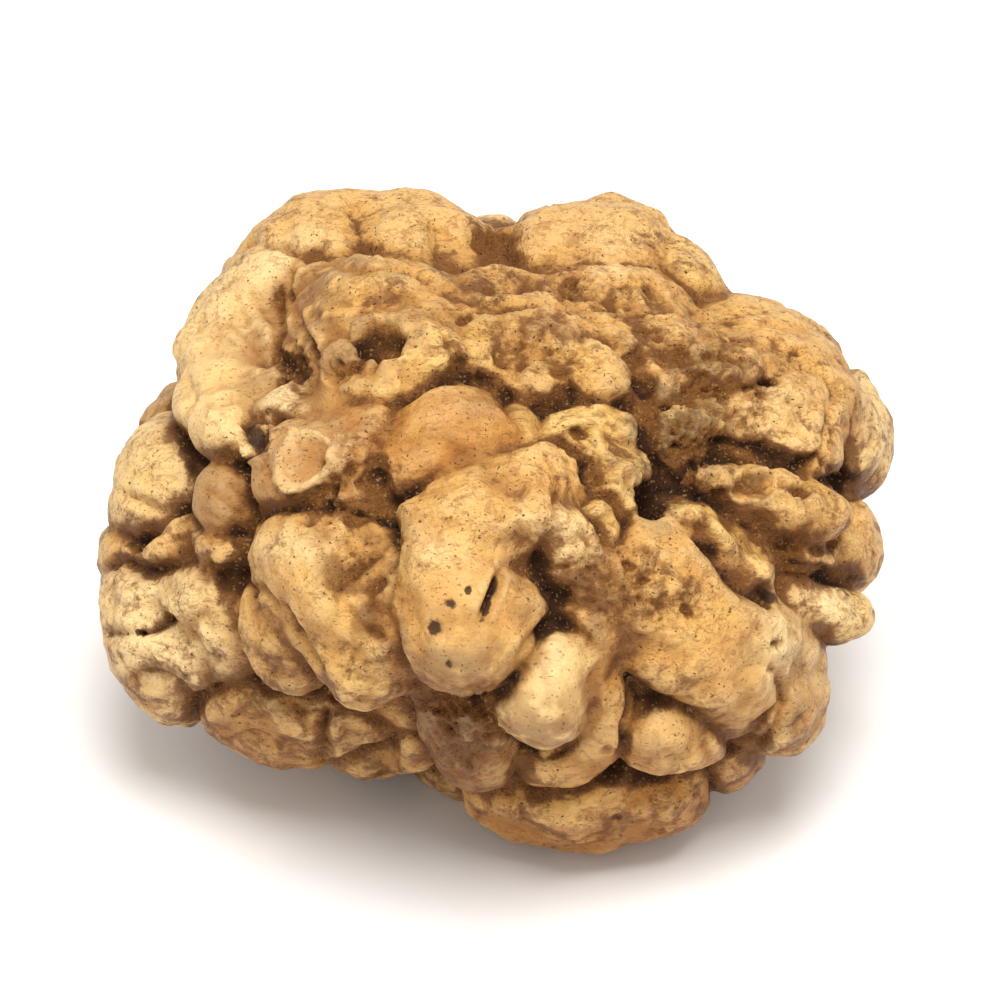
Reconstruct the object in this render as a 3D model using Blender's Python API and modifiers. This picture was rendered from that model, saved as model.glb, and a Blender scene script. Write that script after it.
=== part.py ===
"""White truffle: one solid body of grown-together lobes, resting on a small flat spot.

The body is a rounded core covered with lobes. The lobes of its showing face are placed one by
one, and the back and the underside carry a spiral of similar lobes. Lobes of one family flow
into each other and families meet in creases, as a truffle's folds do.

Sizes below are millimetres. The finished mesh is scaled to metres, +Z up, with the origin in
the middle of its footprint, on the surface that it rests on.
"""

import math
import random

import bmesh
import bpy
import numpy as np
from mathutils import Matrix, Vector, noise

MM = 0.001

# The core, and the plane that the face's lobes are laid out on: leaning back by FACE_LEAN
CORE_CENTRE = Vector((0.0, 3.0, 32.0))
CORE_HALF = Vector((38.0, 32.0, 25.0))
FACE_LEAN = math.radians(38)
FACE_CENTRE = Vector((0.0, 0.0, 33.0))
ACROSS = Vector((1, 0, 0))
UP_FACE = Vector((0, math.sin(FACE_LEAN), math.cos(FACE_LEAN)))
OUT_OF_FACE = Vector((0, -math.cos(FACE_LEAN), math.sin(FACE_LEAN)))

LOBE_GROWTH = 1.7  # every lobe swells by this, which packs them tight
FACE_TIGHTNESS = 0.965  # and their places draw in to keep the outline
CREASE_BLEND = 0.25  # how softly two families meet
WANDER = 1.0  # how far the outline of a lobe wanders from a true ellipsoid
WANDER_SIZE = 9.0
SMALL_WANDER = 0.45
SMALL_WANDER_SIZE = 3.7
WANDER_SEED = 3

BACK_SPIRAL = 74  # lobes all round, of which those away from the face are kept
BACK_LOBE = (6.5, 10.5)
BACK_LOBE_DEPTH = 7.5
BACK_SEED = 7

REST_HEIGHT = 1.6  # the flat spot is cut at this height over the frame's zero
VOXEL = 1.0
TRIANGLES = 7600
START_GAP = 1.2  # the lobes start this much fuller, so that narrow gaps close before they shrink back
ROUNDS = 6  # of moving the surface onto the lobes
FAR = 1000.0

SKIN_COLOUR = (0.62, 0.40, 0.20, 1.0)
SKIN_ROUGHNESS = 0.62

# family: (blend, {lobe: (across, up, lift off the core, half length, half width, half depth, roll)})
FACE_LOBES = {
    "crest": (1.2, {
        "bed": (-15, 29, -5, 14, 8, 12, 6),
        "left": (-25.5, 31.4, -4, 8.6, 5.6, 11, 32),
        "top": (-12, 31, -4, 8.6, 8.4, 13, 0),
        "fall": (-5, 29.6, -3.5, 6, 3.62, 9, -50),
        "middle": (-17.5, 30.5, -3, 4.37, 7.6, 11, 0),
        "boss": (-20.8, 34, 2.4, 1.4, 1.4, 6, 0),
        "upper": (-21.6, 33.6, -3.2, 6.6, 4.88, 10, 12),
        "ridge": (-10.4, 33.4, 0.6, 5.6, 1.6, 8, -72),
    }),
    "rim": (0.8, {
        "bed": (-31.6, 19.4, -3, 6.2, 12, 11, -14),
        "pale": (-28, 29, 2.4, 5.2, 3.4, 8, 48),
        "fold_1": (-30, 24.4, 2.4, 6, 2.2, 8, -56),
        "fold_2": (-32.6, 19.6, 2, 5.6, 3.88, 9, -28),
        "torn_root": (-33.6, 14, 2.5, 4.88, 4.12, 8, -20),
        "torn": (-31, 10.2, 3.2, 6.4, 3.12, 6.5, -40),
        "top": (-31, 26.4, -0.6, 3.2, 2.6, 9, -52),
        "slope": (-28.8, 18.4, -0.6, 5.2, 6.4, 7, -20),
        "slope_low": (-27.2, 15, 1.6, 3.8, 2.4, 6, 25),
        "torn_low": (-28.8, 8.6, 3.6, 2.88, 1.88, 5.5, -55),
        "slope_up": (-27.6, 23.4, -0.6, 4.2, 3, 7, -72),
        "pale_low": (-26.8, 27, 1, 2.6, 2.4, 6, 0),
    }),
    "torn_knobs": (0.7, {
        "one": (-25.8, 15, 4.6, 2.8, 1.2, 4.5, 24),
        "two": (-23.4, 13, 4.8, 1.7, 1.1, 4, -30),
        "three": (-28.8, 13.6, 4.4, 1.7, 1.1, 4, 0),
    }),
    "crown": (1.5, {
        "bed": (-13.2, 23.4, 4.2, 9.6, 7, 7, -8),
        "edge": (-21.8, 26.6, 6.2, 3.1, 4.8, 6.6, 12),
        "head": (-14, 27, 5, 6.8, 3.3, 6, -8),
        "heel": (-19.4, 20.6, 5, 2.1, 3.2, 6, 8),
        "crater": (-14.2, 21, 5.4, 4.2, 3.8, 6, 20),
        "yellow": (-9.2, 19.2, 5.6, 3.2, 2.6, 6, 8),
        "band": (-13.5, 16, 5.4, 7.4, 2.62, 6, 10),
        "edge_low": (-21.4, 22.8, 5.6, 2, 2.7, 6, 10),
    }),
    "tongue": (0.6, {
        "tongue": (-18.2, 19.2, 10.4, 1.8, 1.6, 3.4, 10),
    }),
    "drop": (0.6, {
        "drop": (-20.6, 14.6, 7.4, 0.6, 2, 3.6, -8),
    }),
    "scar": (1.6, {
        "knob": (-23.6, 6.2, 6.2, 3.8, 4, 6.5, 0),
        "hood": (-22.4, 10.8, 4.8, 2.2, 0.7, 4.4, 10),
        "right": (-19.6, 7.2, 5.2, 2, 3.4, 5.5, 0),
        "foot": (-21.4, 2, 4, 4, 0.7, 4.5, 12),
    }),
    "valley": (0.9, {
        "bed": (-15.5, 5.5, 4.2, 8.4, 7.2, 6, -10),
        "ridge": (-17.5, 1.6, 5.2, 5.8, 0.95, 3.5, 20),
        "ridge_2": (-12.5, 0.6, 6, 4.12, 0.95, 3.5, 10),
        "top": (-15, 12, 4.4, 4.62, 2.12, 5, 0),
    }),
    "ball": (0.5, {
        "ball": (-32, 2.9, 4, 3.25, 3.75, 5.2, 0),
    }),
    "shoulder": (0.8, {
        "bed": (-38, 2, -4, 7, 8, 10, 0),
        "shoulder": (-40.8, 5.8, 0.4, 4.75, 6.2, 10, -10),
        "fold": (-41.2, 0.2, 0.2, 5.12, 1.55, 9, -10),
    }),
    "cheek_left": (0.8, {
        "cheek": (-44, -4.2, -2.6, 3.38, 3.62, 10, 0),
        "light_fold": (-38.2, -2.4, 3, 4.62, 1.88, 7, 18),
        "brown_fold": (-32.4, -3.2, 1.8, 3.12, 1.65, 6, -12),
    }),
    "belly": (0.8, {
        "bed": (-36, -10, -3, 10, 7, 10, 0),
        "belly": (-42.6, -9.2, 0.6, 4.88, 4.37, 10, 8),
        "inner": (-35, -8.4, 2.4, 4.88, 3.38, 8, 2),
        "jowl": (-38.8, -15.6, 2, 8, 4.62, 10, -18),
        "jowl_inner": (-31.8, -14, 2.2, 4.62, 4.12, 8, -15),
        "under": (-39.4, -20.2, -3.2, 4.62, 3.12, 8, -28),
    }),
    "foot": (0.8, {
        "bed": (-21, -21.5, -4.5, 13, 5.5, 9, -12),
        "left": (-28.6, -23.2, -1.1, 8.6, 4.62, 10, -18),
        "fold": (-20.8, -24, -1.6, 1.45, 3.38, 8, 15),
    }),
    "foot_right": (0.7, {
        "middle": (-15.8, -25.4, -2, 5.38, 4.12, 9, -4),
        "toe": (-10.2, -26, -2.5, 2.88, 3.38, 7, 20),
    }),
    "wedge": (1.2, {
        "bed": (-18.5, -8, 4.2, 9, 7.6, 7, -40),
        "corner": (-24.8, -3.8, 6, 3.88, 3.5, 6.5, 0),
        "top": (-19.4, -4.2, 6, 6.4, 3.38, 6.5, -6),
        "right": (-13.6, -5.4, 6.2, 3.38, 4.88, 6, -10),
        "ridge": (-19.8, -9.6, 7.2, 7.2, 2.88, 7.5, -52),
        "low": (-13.2, -14, 7.6, 3.12, 3.12, 7, -40),
        "knob": (-16.4, -17.2, 7.8, 4.37, 3.38, 6.8, -30),
    }),
    "flap": (0.7, {
        "flap": (-26, -13, 4.4, 6.6, 3.88, 6.4, 110),
    }),
    "wing": (1.0, {
        "wing": (-12, -6.6, 8.4, 1.15, 3.88, 5, -18),
    }),
    "cone": (1.4, {
        "bed": (-6, 8.6, 4.5, 6.2, 4.8, 6, 35),
        "top": (-5.6, 11.6, 5.8, 3.62, 3.88, 6, 0),
        "base": (-9.8, 6.2, 5.4, 3.5, 3.5, 6, 40),
        "side": (-1.4, 8.6, 5.6, 3.62, 2.62, 5, -15),
    }),
    "cone_knobs": (0.45, {
        "one": (2.2, 11.8, 4.6, 1.88, 1.35, 4, -15),
        "two": (3.7, 9.2, 5.2, 1.25, 1.45, 4, 0),
    }),
    "neck": (1.2, {
        "neck": (3, 4.6, 8.2, 5.12, 3.12, 5.5, 5),
        "fold": (7.6, 4.2, 7.2, 1.65, 3.38, 5, 25),
    }),
    "nose": (1.0, {
        "bridge": (-3.6, 0.2, 9.8, 6.6, 4.62, 6.5, 12),
        "ball": (-5, -7.6, 11, 6.2, 6.2, 8, 20),
        "tip": (-3.7, -13.9, 10.8, 6.6, 5, 7.5, 3),
        "cheek": (3, -10.2, 9.2, 1.45, 1.25, 5, -20),
        "inner": (3.2, -1.4, 8, 3.2, 3, 5, 0),
    }),
    "brow": (1.6, {
        "brow": (6.4, -1.2, 7.9, 4.9, 2.8, 4.8, -14),
        "shade": (6.6, -7, 6, 4.4, 1.8, 4, -8),
    }),
    "brow_knobs": (0.45, {
        "one": (11.4, 0.8, 7.4, 0.85, 0.75, 4, 0),
        "two": (13.1, -2, 6.8, 0.7, 0.7, 3.5, 0),
    }),
    "egg": (0.5, {
        "egg": (5.7, -20, 10.4, 5.5, 4.3, 6.2, 80),
        "top": (6.7, -17, 10.2, 3.4, 3.6, 5.4, 0),
    }),
    "collar": (1.2, {
        "top": (12.7, -18, 7.6, 2.12, 0.75, 4.5, 84),
        "side": (12.6, -21.4, 8.4, 2.62, 1.05, 5, 88),
        "bend": (12, -25, 9, 2.62, 1.55, 5.5, 72),
        "corner": (10.4, -27.2, 9.4, 2.88, 2.2, 6, 35),
        "front": (7, -28.4, 9.4, 3.4, 2.4, 6, 0),
        "end": (3.8, -27.8, 8.4, 2.38, 1.88, 5.5, -35),
    }),
    "knob": (1.2, {
        "knob": (20, -23.8, 17, 4.6, 4.5, 6.4, 60),
        "side": (24, -26.6, 13, 2, 2, 5, 0),
    }),
    "throat": (0.9, {
        "bed": (-2.5, -26, 2.5, 4.6, 5.6, 7, 15),
        "left": (-4.2, -22.4, 4.6, 4.12, 4.37, 6, 0),
    }),
    "plain": (1.8, {
        "fill": (11.4, -11.6, 3.6, 3.2, 4.4, 6, 15),
        "bed": (20, -11, 1.5, 11, 8, 8, -45),
        "low": (26.2, -16.8, 4.8, 6, 7.2, 8, 10),
        "mid": (20.6, -12.6, 4.6, 7.5, 5.6, 7, -40),
        "upper": (17.4, -6.6, 4.4, 4.62, 4.37, 6.5, 0),
        "crest": (20, -2.8, 3.4, 4.88, 2, 5.5, -22),
        "edge": (27, -9.2, 3, 7, 2.38, 6, -40),
        "foot": (28.6, -22.4, 5.4, 3.4, 2.6, 6, 0),
        "fill_2": (9.4, -9.2, 5.2, 3.4, 3, 4.6, -10),
    }),
    "flank": (0.8, {
        "upper": (35, -14.4, 8.6, 3.4, 5.2, 8.5, 10),
        "lower": (34.8, -21.4, 5, 4.2, 5.6, 9.5, 0),
        "brown": (30.4, -27, -0.5, 2.62, 1.65, 6, 25),
    }),
    "chin": (1.4, {
        "chin": (10, -32.6, -0.6, 10.8, 5.12, 10, 4),
        "front": (13, -33.2, -1.6, 8.4, 4.12, 9, 4),
        "right": (21.6, -32.6, -1.4, 3.88, 3.38, 8, 20),
        "left": (1.4, -32.2, -1, 2.62, 3.12, 8, 0),
    }),
    "chin_side": (0.7, {
        "side": (28.6, -29.4, -3, 3.62, 2.38, 8, 35),
    }),
    "knots": (0.35, {
        "bed": (11, 6.8, 2.2, 6.6, 4, 5, -52),
        "top": (9.6, 11.2, 5.6, 2.62, 1.25, 4.4, -10),
        "side": (14.9, 10.8, 4.8, 0.95, 1.05, 4, 0),
        "middle": (11.6, 7.6, 5.9, 1.88, 1.25, 4.6, -30),
        "right": (15.4, 7, 5.2, 1.15, 0.95, 3.5, 0),
        "low": (13, 4.2, 6, 1.55, 1.15, 4.2, 0),
        "lowest": (15.2, 1.6, 5, 0.95, 1.15, 4, 0),
        "foot": (10.4, 4, 6, 0.85, 1.05, 4, 0),
        "top_left": (6.8, 10.6, 5.6, 0.95, 0.95, 3.6, 0),
        "top_right": (12.6, 11.9, 5.6, 1.25, 0.95, 3.6, 0),
        "tip": (15.9, 4.6, 5.2, 0.7, 0.7, 3, 0),
    }),
    "shelf": (0.7, {
        "shelf": (32, 2.6, 2.8, 9.8, 2.62, 7, -8),
        "top": (25.4, 5.2, 3.4, 2.38, 1.05, 5, 5),
        "top_right": (36.8, 4.6, 3, 2.88, 0.85, 5, -10),
    }),
    "bone": (0.6, {
        "head": (22.4, 1.2, 4, 2.75, 0.85, 4, -10),
        "shaft": (26.8, -1.5, 4.6, 3.5, 0.9, 5, -40),
        "foot": (30, -5, 5.6, 2.4, 1.5, 4, -40),
    }),
    "roll": (0.6, {
        "roll": (37.2, -9.2, 8.4, 7.4, 3, 8, -28),
    }),
    "cheek": (0.7, {
        "cheek": (42, -3, 1.2, 3.6, 4.9, 10, 0),
        "tendon": (35.6, -3.4, 3.4, 4.6, 1, 5, -18),
        "tendon_2": (34.6, -1.6, 2.4, 3.6, 0.7, 4.5, -12),
        "strap": (37.2, -5.2, 2.6, 3.2, 1, 4.5, -28),
    }),
    "right": (1.3, {
        "bed": (30, 15, -3.5, 12, 7.5, 9, -10),
        "crest": (31.4, 22.4, -1.4, 8.2, 4.12, 12, -10),
        "crest_end": (38, 19.2, -2, 3.62, 3.88, 11, -10),
        "palm": (35, 12.2, 3.6, 6.4, 4.37, 7.5, -5),
        "middle": (28, 15.6, 2.8, 7.4, 4.12, 6.5, -5),
        "inner": (22, 19.5, 2.2, 5.6, 3.88, 6, 0),
        "under": (30.5, 9.6, 0.6, 9.5, 3.12, 6, -6),
        "soil": (21, 10.4, 1.4, 4.12, 6, 5, 0),
    }),
    "bulb": (0.9, {
        "bulb": (42.8, 10.6, -1.5, 5, 6.1, 11.5, 0),
    }),
    "lip": (0.6, {
        "lip": (40.8, 8.8, 2.2, 1.65, 3.88, 6.5, 18),
    }),
    "top": (1.0, {
        "bed": (12, 28.5, -5, 13, 7.5, 11, -5),
        "main": (14, 31.4, -3.5, 7.4, 7.2, 12, 0),
        "left": (6.3, 32.3, -3.5, 3.88, 5.6, 10, 0),
        "low": (14.5, 25.8, -0.2, 8, 4.37, 7, -4),
    }),
    "top_right": (0.9, {
        "right": (22.6, 29.6, -2, 3.88, 4.37, 9.5, 0),
        "skirt": (24.6, 26.8, -1.6, 3.62, 2.38, 7, -10),
    }),
    "saddle": (0.9, {
        "saddle": (-0.6, 30.4, -4, 3.88, 3.5, 9, 0),
    }),
    "band": (0.8, {
        "bed": (4, 20, 0.4, 11, 5.6, 5, -3),
        "rough": (4.6, 21.6, 3.4, 6.6, 2.62, 5, -4),
        "low": (4.6, 16.6, 3.6, 3.38, 1.65, 4, 0),
        "left": (-3, 18.8, 4.6, 2.38, 2.38, 4, 0),
        "top": (-2.6, 25.6, 1, 4.37, 2.5, 5, 0),
        "end": (11, 22, 2, 4.12, 1.88, 5, -10),
    }),
    "band_ball": (0.6, {
        "ball": (12.4, 16.8, 4.2, 3.5, 3.25, 5.2, 0),
        "knob": (8.6, 19.2, 4.6, 1.05, 0.85, 3.5, 0),
    }),
}

# Where neighbouring families flow together: (across, up, radius, added blend)
MERGES = [
    (-10, 27, 6, 1.2),
    (-2, 26, 8, 1),
    (10, 25, 9, 1),
    (20, 24, 7, 1.2),
    (27, 21, 7, 1),
    (3, 30, 6, 0.8),
    (-12, 22, 5, 0.6),
    (14, -7, 7, 1.2),
    (34, 15, 6, 0.6),
    (-34, -12, 6, 0.6),
    (-30, 17, 6, 0.8),
    (-26, -21, 6, 0.5),
    (12, -17, 3, 0.8),
    (41, 15.5, 4.5, 1.4),
    (-26, 31, 3, 0.5),
    (-17, 3, 6, 0.8),
    (-8, -26, 3, 0.6),
    (0, 33, 4, 0.8),
    (4.5, 1.4, 4.5, 1.8),
    (33.6, -13, 5, 2),
    (34, -19, 3, 0.6),
    (-13, 12.5, 4, 0.8),
    (-19, 8, 3, 0.8),
    (9.6, -5.6, 3, 0.8),
    (13, -12, 4, 0.8),
]


def clear_scene():
    for obj in list(bpy.data.objects):
        bpy.data.objects.remove(obj)


def core_out(across, up):
    """How far out of the face plane the core's skin lies."""
    start = FACE_CENTRE + across * ACROSS + up * UP_FACE - CORE_CENTRE
    start = Vector(p / h for p, h in zip(start, CORE_HALF))
    step = Vector(p / h for p, h in zip(OUT_OF_FACE, CORE_HALF))
    half_b = start.dot(step) / step.length_squared
    inside = half_b**2 - (start.length_squared - 1) / step.length_squared
    return -half_b + math.sqrt(max(inside, 0.0))


def lobe_frame(centre, axes, roll):
    turn = Matrix.Rotation(math.radians(roll), 3, "Z")
    rotation = Matrix(axes).transposed() @ turn
    return Matrix.Translation(centre) @ rotation.to_4x4()


def face_frame(across, up, lift, roll):
    across = FACE_TIGHTNESS * across
    up = FACE_TIGHTNESS * up
    out = core_out(across, up) + lift
    centre = FACE_CENTRE + across * ACROSS + up * UP_FACE + out * OUT_OF_FACE
    return lobe_frame(centre, (ACROSS, UP_FACE, OUT_OF_FACE), roll)


def face_families():
    """Each family as (blend, [(frame, half sizes)])."""
    families = []
    for blend, lobes in FACE_LOBES.values():
        rows = [(face_frame(u, v, lift, roll), halves) for u, v, lift, *halves, roll in lobes.values()]
        families.append((blend, rows))
    return families


def back_families():
    """Rounded lobes of about one size over all that the face leaves bare, each its own family."""
    pick = random.Random(BACK_SEED)
    golden_angle = math.pi * (3 - math.sqrt(5))
    families = []
    for step in range(BACK_SPIRAL):
        height = 1 - 2 * (step + 0.5) / BACK_SPIRAL
        ring = math.sqrt(1 - height * height)
        turn = step * golden_angle
        direction = Vector((ring * math.cos(turn), ring * math.sin(turn), height))
        size = pick.uniform(*BACK_LOBE)
        push = pick.uniform(-1.0, 3.0)
        roll = pick.uniform(0, 180)
        stretch = pick.uniform(0.8, 1.25)
        outward = Vector(d / h for d, h in zip(direction, CORE_HALF)).normalized()
        if outward.dot(OUT_OF_FACE) > -0.12:
            continue
        on_core = Vector(d * h for d, h in zip(direction, CORE_HALF))
        side = outward.orthogonal().normalized()
        centre = CORE_CENTRE + on_core + outward * (push - 1)
        frame = lobe_frame(centre, (side, outward.cross(side), outward), roll)
        halves = [size * stretch, size / stretch, BACK_LOBE_DEPTH]
        families.append((0.8, [(frame, halves)]))
    return families


def all_families():
    core = (1.5, [(Matrix.Translation(CORE_CENTRE), list(CORE_HALF))])
    return [core] + face_families() + back_families()


def add_lobe(frame, halves):
    bpy.ops.mesh.primitive_ico_sphere_add(subdivisions=3, radius=1.0)
    lobe = bpy.context.object
    full = [half + LOBE_GROWTH + START_GAP for half in halves]
    lobe.data.transform(frame @ Matrix.Diagonal((*full, 1.0)))
    return lobe


def apply_modifier(obj, kind, **settings):
    modifier = obj.modifiers.new(kind.title(), kind)
    for name, value in settings.items():
        setattr(modifier, name, value)
    bpy.context.view_layer.objects.active = obj
    bpy.ops.object.modifier_apply(modifier=modifier.name)


def join_lobes(families):
    """One closed skin round all the lobes."""
    lobes = [add_lobe(*row) for blend, rows in families for row in rows]
    for lobe in lobes:
        lobe.select_set(True)
    bpy.context.view_layer.objects.active = lobes[0]
    bpy.ops.object.join()
    body = bpy.context.object
    apply_modifier(body, "REMESH", mode="VOXEL", voxel_size=VOXEL)
    keep_outer_skin(body)
    return body


def island_from(seed, left):
    island = [seed]
    left.discard(seed)
    for vert in island:
        for edge in vert.link_edges:
            other = edge.other_vert(vert)
            if other in left:
                left.discard(other)
                island.append(other)
    return island


def keep_outer_skin(body):
    """Deletes the skins of any hollows sealed inside."""
    mesh = bmesh.new()
    mesh.from_mesh(body.data)
    left = set(mesh.verts)
    islands = [island_from(seed, left) for seed in mesh.verts if seed in left]
    islands.sort(key=len)
    inner = [vert for island in islands[:-1] for vert in island]
    bmesh.ops.delete(mesh, geom=inner, context="VERTS")
    mesh.to_mesh(body.data)
    mesh.free()


def points_of(body):
    flat = np.empty(len(body.data.vertices) * 3)
    body.data.vertices.foreach_get("co", flat)
    return flat.reshape(-1, 3)


def edges_of(body):
    flat = np.empty(len(body.data.edges) * 2, int)
    body.data.edges.foreach_get("vertices", flat)
    return flat.reshape(-1, 2)


def relax(points, edges):
    """Moves each point half way to the middle of its neighbours."""
    first = edges[:, 0]
    second = edges[:, 1]
    count = len(points)
    total = np.zeros((count, 3))
    for axis in range(3):
        total[:, axis] += np.bincount(first, points[second, axis], count)
        total[:, axis] += np.bincount(second, points[first, axis], count)
    neighbours = np.bincount(edges.ravel(), minlength=count)
    return 0.5 * points + 0.5 * total / neighbours[:, None]


def wander(points):
    """A slow drift of the points, which makes the lobes irregular."""
    noise.seed_set(WANDER_SEED)
    drift = []
    for point in map(Vector, points):
        big = noise.noise_vector(point / WANDER_SIZE)
        small = noise.noise_vector(point / SMALL_WANDER_SIZE)
        drift.append(WANDER * (big + SMALL_WANDER * small))
    return np.array(drift)


def lobe_distance(points, frame, halves):
    """About how far the points lie outside a lobe, and the way out."""
    rotation = np.array(frame.to_3x3())
    half = np.array(halves) + LOBE_GROWTH
    local = (points - np.array(frame.translation)) @ rotation
    reach = np.linalg.norm(local / half, axis=1)
    slope = local / half**2
    steepness = np.linalg.norm(slope, axis=1) + 1e-9
    return reach * (reach - 1) / steepness, (slope / steepness[:, None]) @ rotation.T


def family_distance(points, blend, rows):
    weights = np.zeros(len(points))
    ways = np.zeros((len(points), 3))
    for frame, halves in rows:
        near_enough = max(halves) + LOBE_GROWTH + 11.0
        offset = points - np.array(frame.translation)
        near = np.where((offset**2).sum(axis=1) < near_enough**2)[0]
        distance, way = lobe_distance(points[near], frame, halves)
        weight = np.exp(-np.clip(distance, -9 * blend, 40) / blend)
        weights[near] += weight
        ways[near] += weight[:, None] * way
    reached = weights > 1e-12
    distance = np.full(len(points), FAR)
    distance[reached] = -blend * np.log(weights[reached])
    ways[reached] /= weights[reached, None]
    return distance, ways


def crease_blend(points):
    offset = points - np.array(FACE_CENTRE)
    across = offset @ np.array(ACROSS)
    up = offset @ np.array(UP_FACE)
    in_front = np.clip((offset @ np.array(OUT_OF_FACE) + 4) / 8, 0, 1)
    blend = np.full(len(points), CREASE_BLEND)
    for u, v, radius, added in MERGES:
        blend += added * in_front * np.exp(-((across - u) ** 2 + (up - v) ** 2) / radius**2)
    return blend


def body_distance(points, families):
    """How far the points lie outside the whole body, and the way out."""
    found = [family_distance(points, *family) for family in families]
    distances = np.array([distance for distance, way in found])
    ways = np.array([way for distance, way in found])
    blend = crease_blend(points)
    nearest = distances.min(axis=0)
    weights = np.exp(-np.clip((distances - nearest) / blend, 0, 60))
    weights[distances > FAR / 2] = 0
    total = weights.sum(axis=0)
    way = np.einsum("fn,fnk->nk", weights, ways) / total[:, None]
    return nearest - blend * np.log(total), way


def settle_on_lobes(body, families):
    """Moves the skin onto the lobes, in small steps with its points kept even."""
    points = points_of(body)
    edges = edges_of(body)
    drift = None
    for step in range(ROUNDS):
        if step % 3 == 0:
            drift = wander(points)
        distance, way = body_distance(points + drift, families)
        length = (way**2).sum(axis=1) + 0.05
        move = 0.9 * np.clip(distance, -0.8, 0.8) / length
        points = points - move[:, None] * way
        if step < ROUNDS - 1:
            points = relax(points, edges)
    body.data.vertices.foreach_set("co", points.ravel())
    body.data.update()


def thin_out(body):
    triangles = sum(len(face.vertices) - 2 for face in body.data.polygons)
    apply_modifier(body, "DECIMATE", ratio=TRIANGLES / triangles, use_collapse_triangulate=True)


def floor_cutter(body):
    """A block under the resting height, which takes off the lowest lobes' tips."""
    lowest = min(vert.co.z for vert in body.data.vertices)
    depth = REST_HEIGHT - lowest + 5
    bpy.ops.mesh.primitive_cube_add(size=1, location=(0, 0, REST_HEIGHT - depth / 2))
    cutter = bpy.context.object
    cutter.name = "floor_cutter"
    cutter.data.transform(Matrix.Diagonal((200, 200, depth, 1)))
    cutter.hide_render = True
    cutter.display_type = "WIRE"
    return cutter


def cut_rest_spots(body):
    cutter = floor_cutter(body)
    apply_modifier(body, "BOOLEAN", operation="DIFFERENCE", solver="EXACT", object=cutter)
    bpy.data.objects.remove(cutter)


def place(body):
    """Puts the origin in the middle of the footprint on the resting surface, in metres."""
    points = points_of(body)
    middle = (points.min(axis=0) + points.max(axis=0)) / 2
    shift = Matrix.Translation((-middle[0], -middle[1], -REST_HEIGHT))
    body.data.transform(Matrix.Scale(MM, 4) @ shift)
    body.data.update()


def skin_material():
    material = bpy.data.materials.new("truffle_skin")
    material.use_nodes = True
    shader = material.node_tree.nodes["Principled BSDF"]
    shader.inputs["Base Color"].default_value = SKIN_COLOUR
    shader.inputs["Roughness"].default_value = SKIN_ROUGHNESS
    return material


def make_truffle():
    families = all_families()
    body = join_lobes(families)
    settle_on_lobes(body, families)
    thin_out(body)
    cut_rest_spots(body)
    place(body)
    body.name = "truffle"
    body.data.name = "truffle"
    body.data.materials.clear()
    body.data.materials.append(skin_material())
    body.data.shade_smooth()
    return body


def main():
    clear_scene()
    truffle = make_truffle()
    parts = bpy.data.collections.new("White truffle")
    bpy.context.scene.collection.children.link(parts)
    for collection in list(truffle.users_collection):
        collection.objects.unlink(truffle)
    parts.objects.link(truffle)


main()
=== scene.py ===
"""White truffle: the looks of one grown body of folded lobes, lying on a pale floor.

Lengths are millimetres until the mesh is finished. It is then scaled to metres.
"""

import math
import random

import bmesh
import bpy
import numpy as np
from mathutils import Matrix, Vector, noise
from mathutils.bvhtree import BVHTree


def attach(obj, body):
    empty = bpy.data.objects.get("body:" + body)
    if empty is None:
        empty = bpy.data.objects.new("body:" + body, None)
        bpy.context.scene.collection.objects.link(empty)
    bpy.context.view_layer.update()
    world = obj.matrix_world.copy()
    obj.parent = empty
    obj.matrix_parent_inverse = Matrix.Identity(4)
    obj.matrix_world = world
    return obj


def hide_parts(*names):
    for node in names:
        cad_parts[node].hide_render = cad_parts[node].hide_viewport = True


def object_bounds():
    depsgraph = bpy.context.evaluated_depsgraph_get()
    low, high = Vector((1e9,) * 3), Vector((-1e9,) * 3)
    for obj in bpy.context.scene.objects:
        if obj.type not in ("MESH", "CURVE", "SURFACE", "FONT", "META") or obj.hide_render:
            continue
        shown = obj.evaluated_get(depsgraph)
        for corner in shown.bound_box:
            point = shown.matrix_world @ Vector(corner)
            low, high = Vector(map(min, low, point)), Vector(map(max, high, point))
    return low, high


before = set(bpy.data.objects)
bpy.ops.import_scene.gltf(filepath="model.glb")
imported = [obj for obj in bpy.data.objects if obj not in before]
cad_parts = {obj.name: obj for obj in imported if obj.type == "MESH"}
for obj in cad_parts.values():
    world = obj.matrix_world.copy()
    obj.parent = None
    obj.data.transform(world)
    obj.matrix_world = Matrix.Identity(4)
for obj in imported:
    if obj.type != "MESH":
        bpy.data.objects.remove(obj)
cad_low, cad_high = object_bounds()
bpy.ops.object.select_all(action="DESELECT")

MM = 0.001
GOLDEN_ANGLE = math.pi * (3 - math.sqrt(5))

# The core, and the plane that the showing face is laid out on: leaning back by FACE_LEAN
CORE_CENTRE = Vector((0.0, 3.0, 32.0))
CORE_HALF = Vector((38.0, 32.0, 25.0))
CORE_BLEND = 1.5
FACE_LEAN = math.radians(38)
FACE_CENTRE = Vector((0.0, 0.0, 33.0))
ACROSS = Vector((1, 0, 0))
UP_FACE = Vector((0, math.sin(FACE_LEAN), math.cos(FACE_LEAN)))
OUT_OF_FACE = Vector((0, -math.cos(FACE_LEAN), math.sin(FACE_LEAN)))

LOBE_GROWTH = 1.7  # every lobe swells by this, which packs them tight
FACE_TIGHTNESS = 0.965  # and their places draw in to keep the outline
CREASE_BLEND = 0.2  # how softly two families meet
WANDER = 1.0  # how far the outline of a lobe wanders from a true ellipsoid
WANDER_SIZE = 9.0
SMALL_WANDER = 0.45
SMALL_WANDER_SIZE = 3.7
WANDER_SEED = 3

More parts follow.
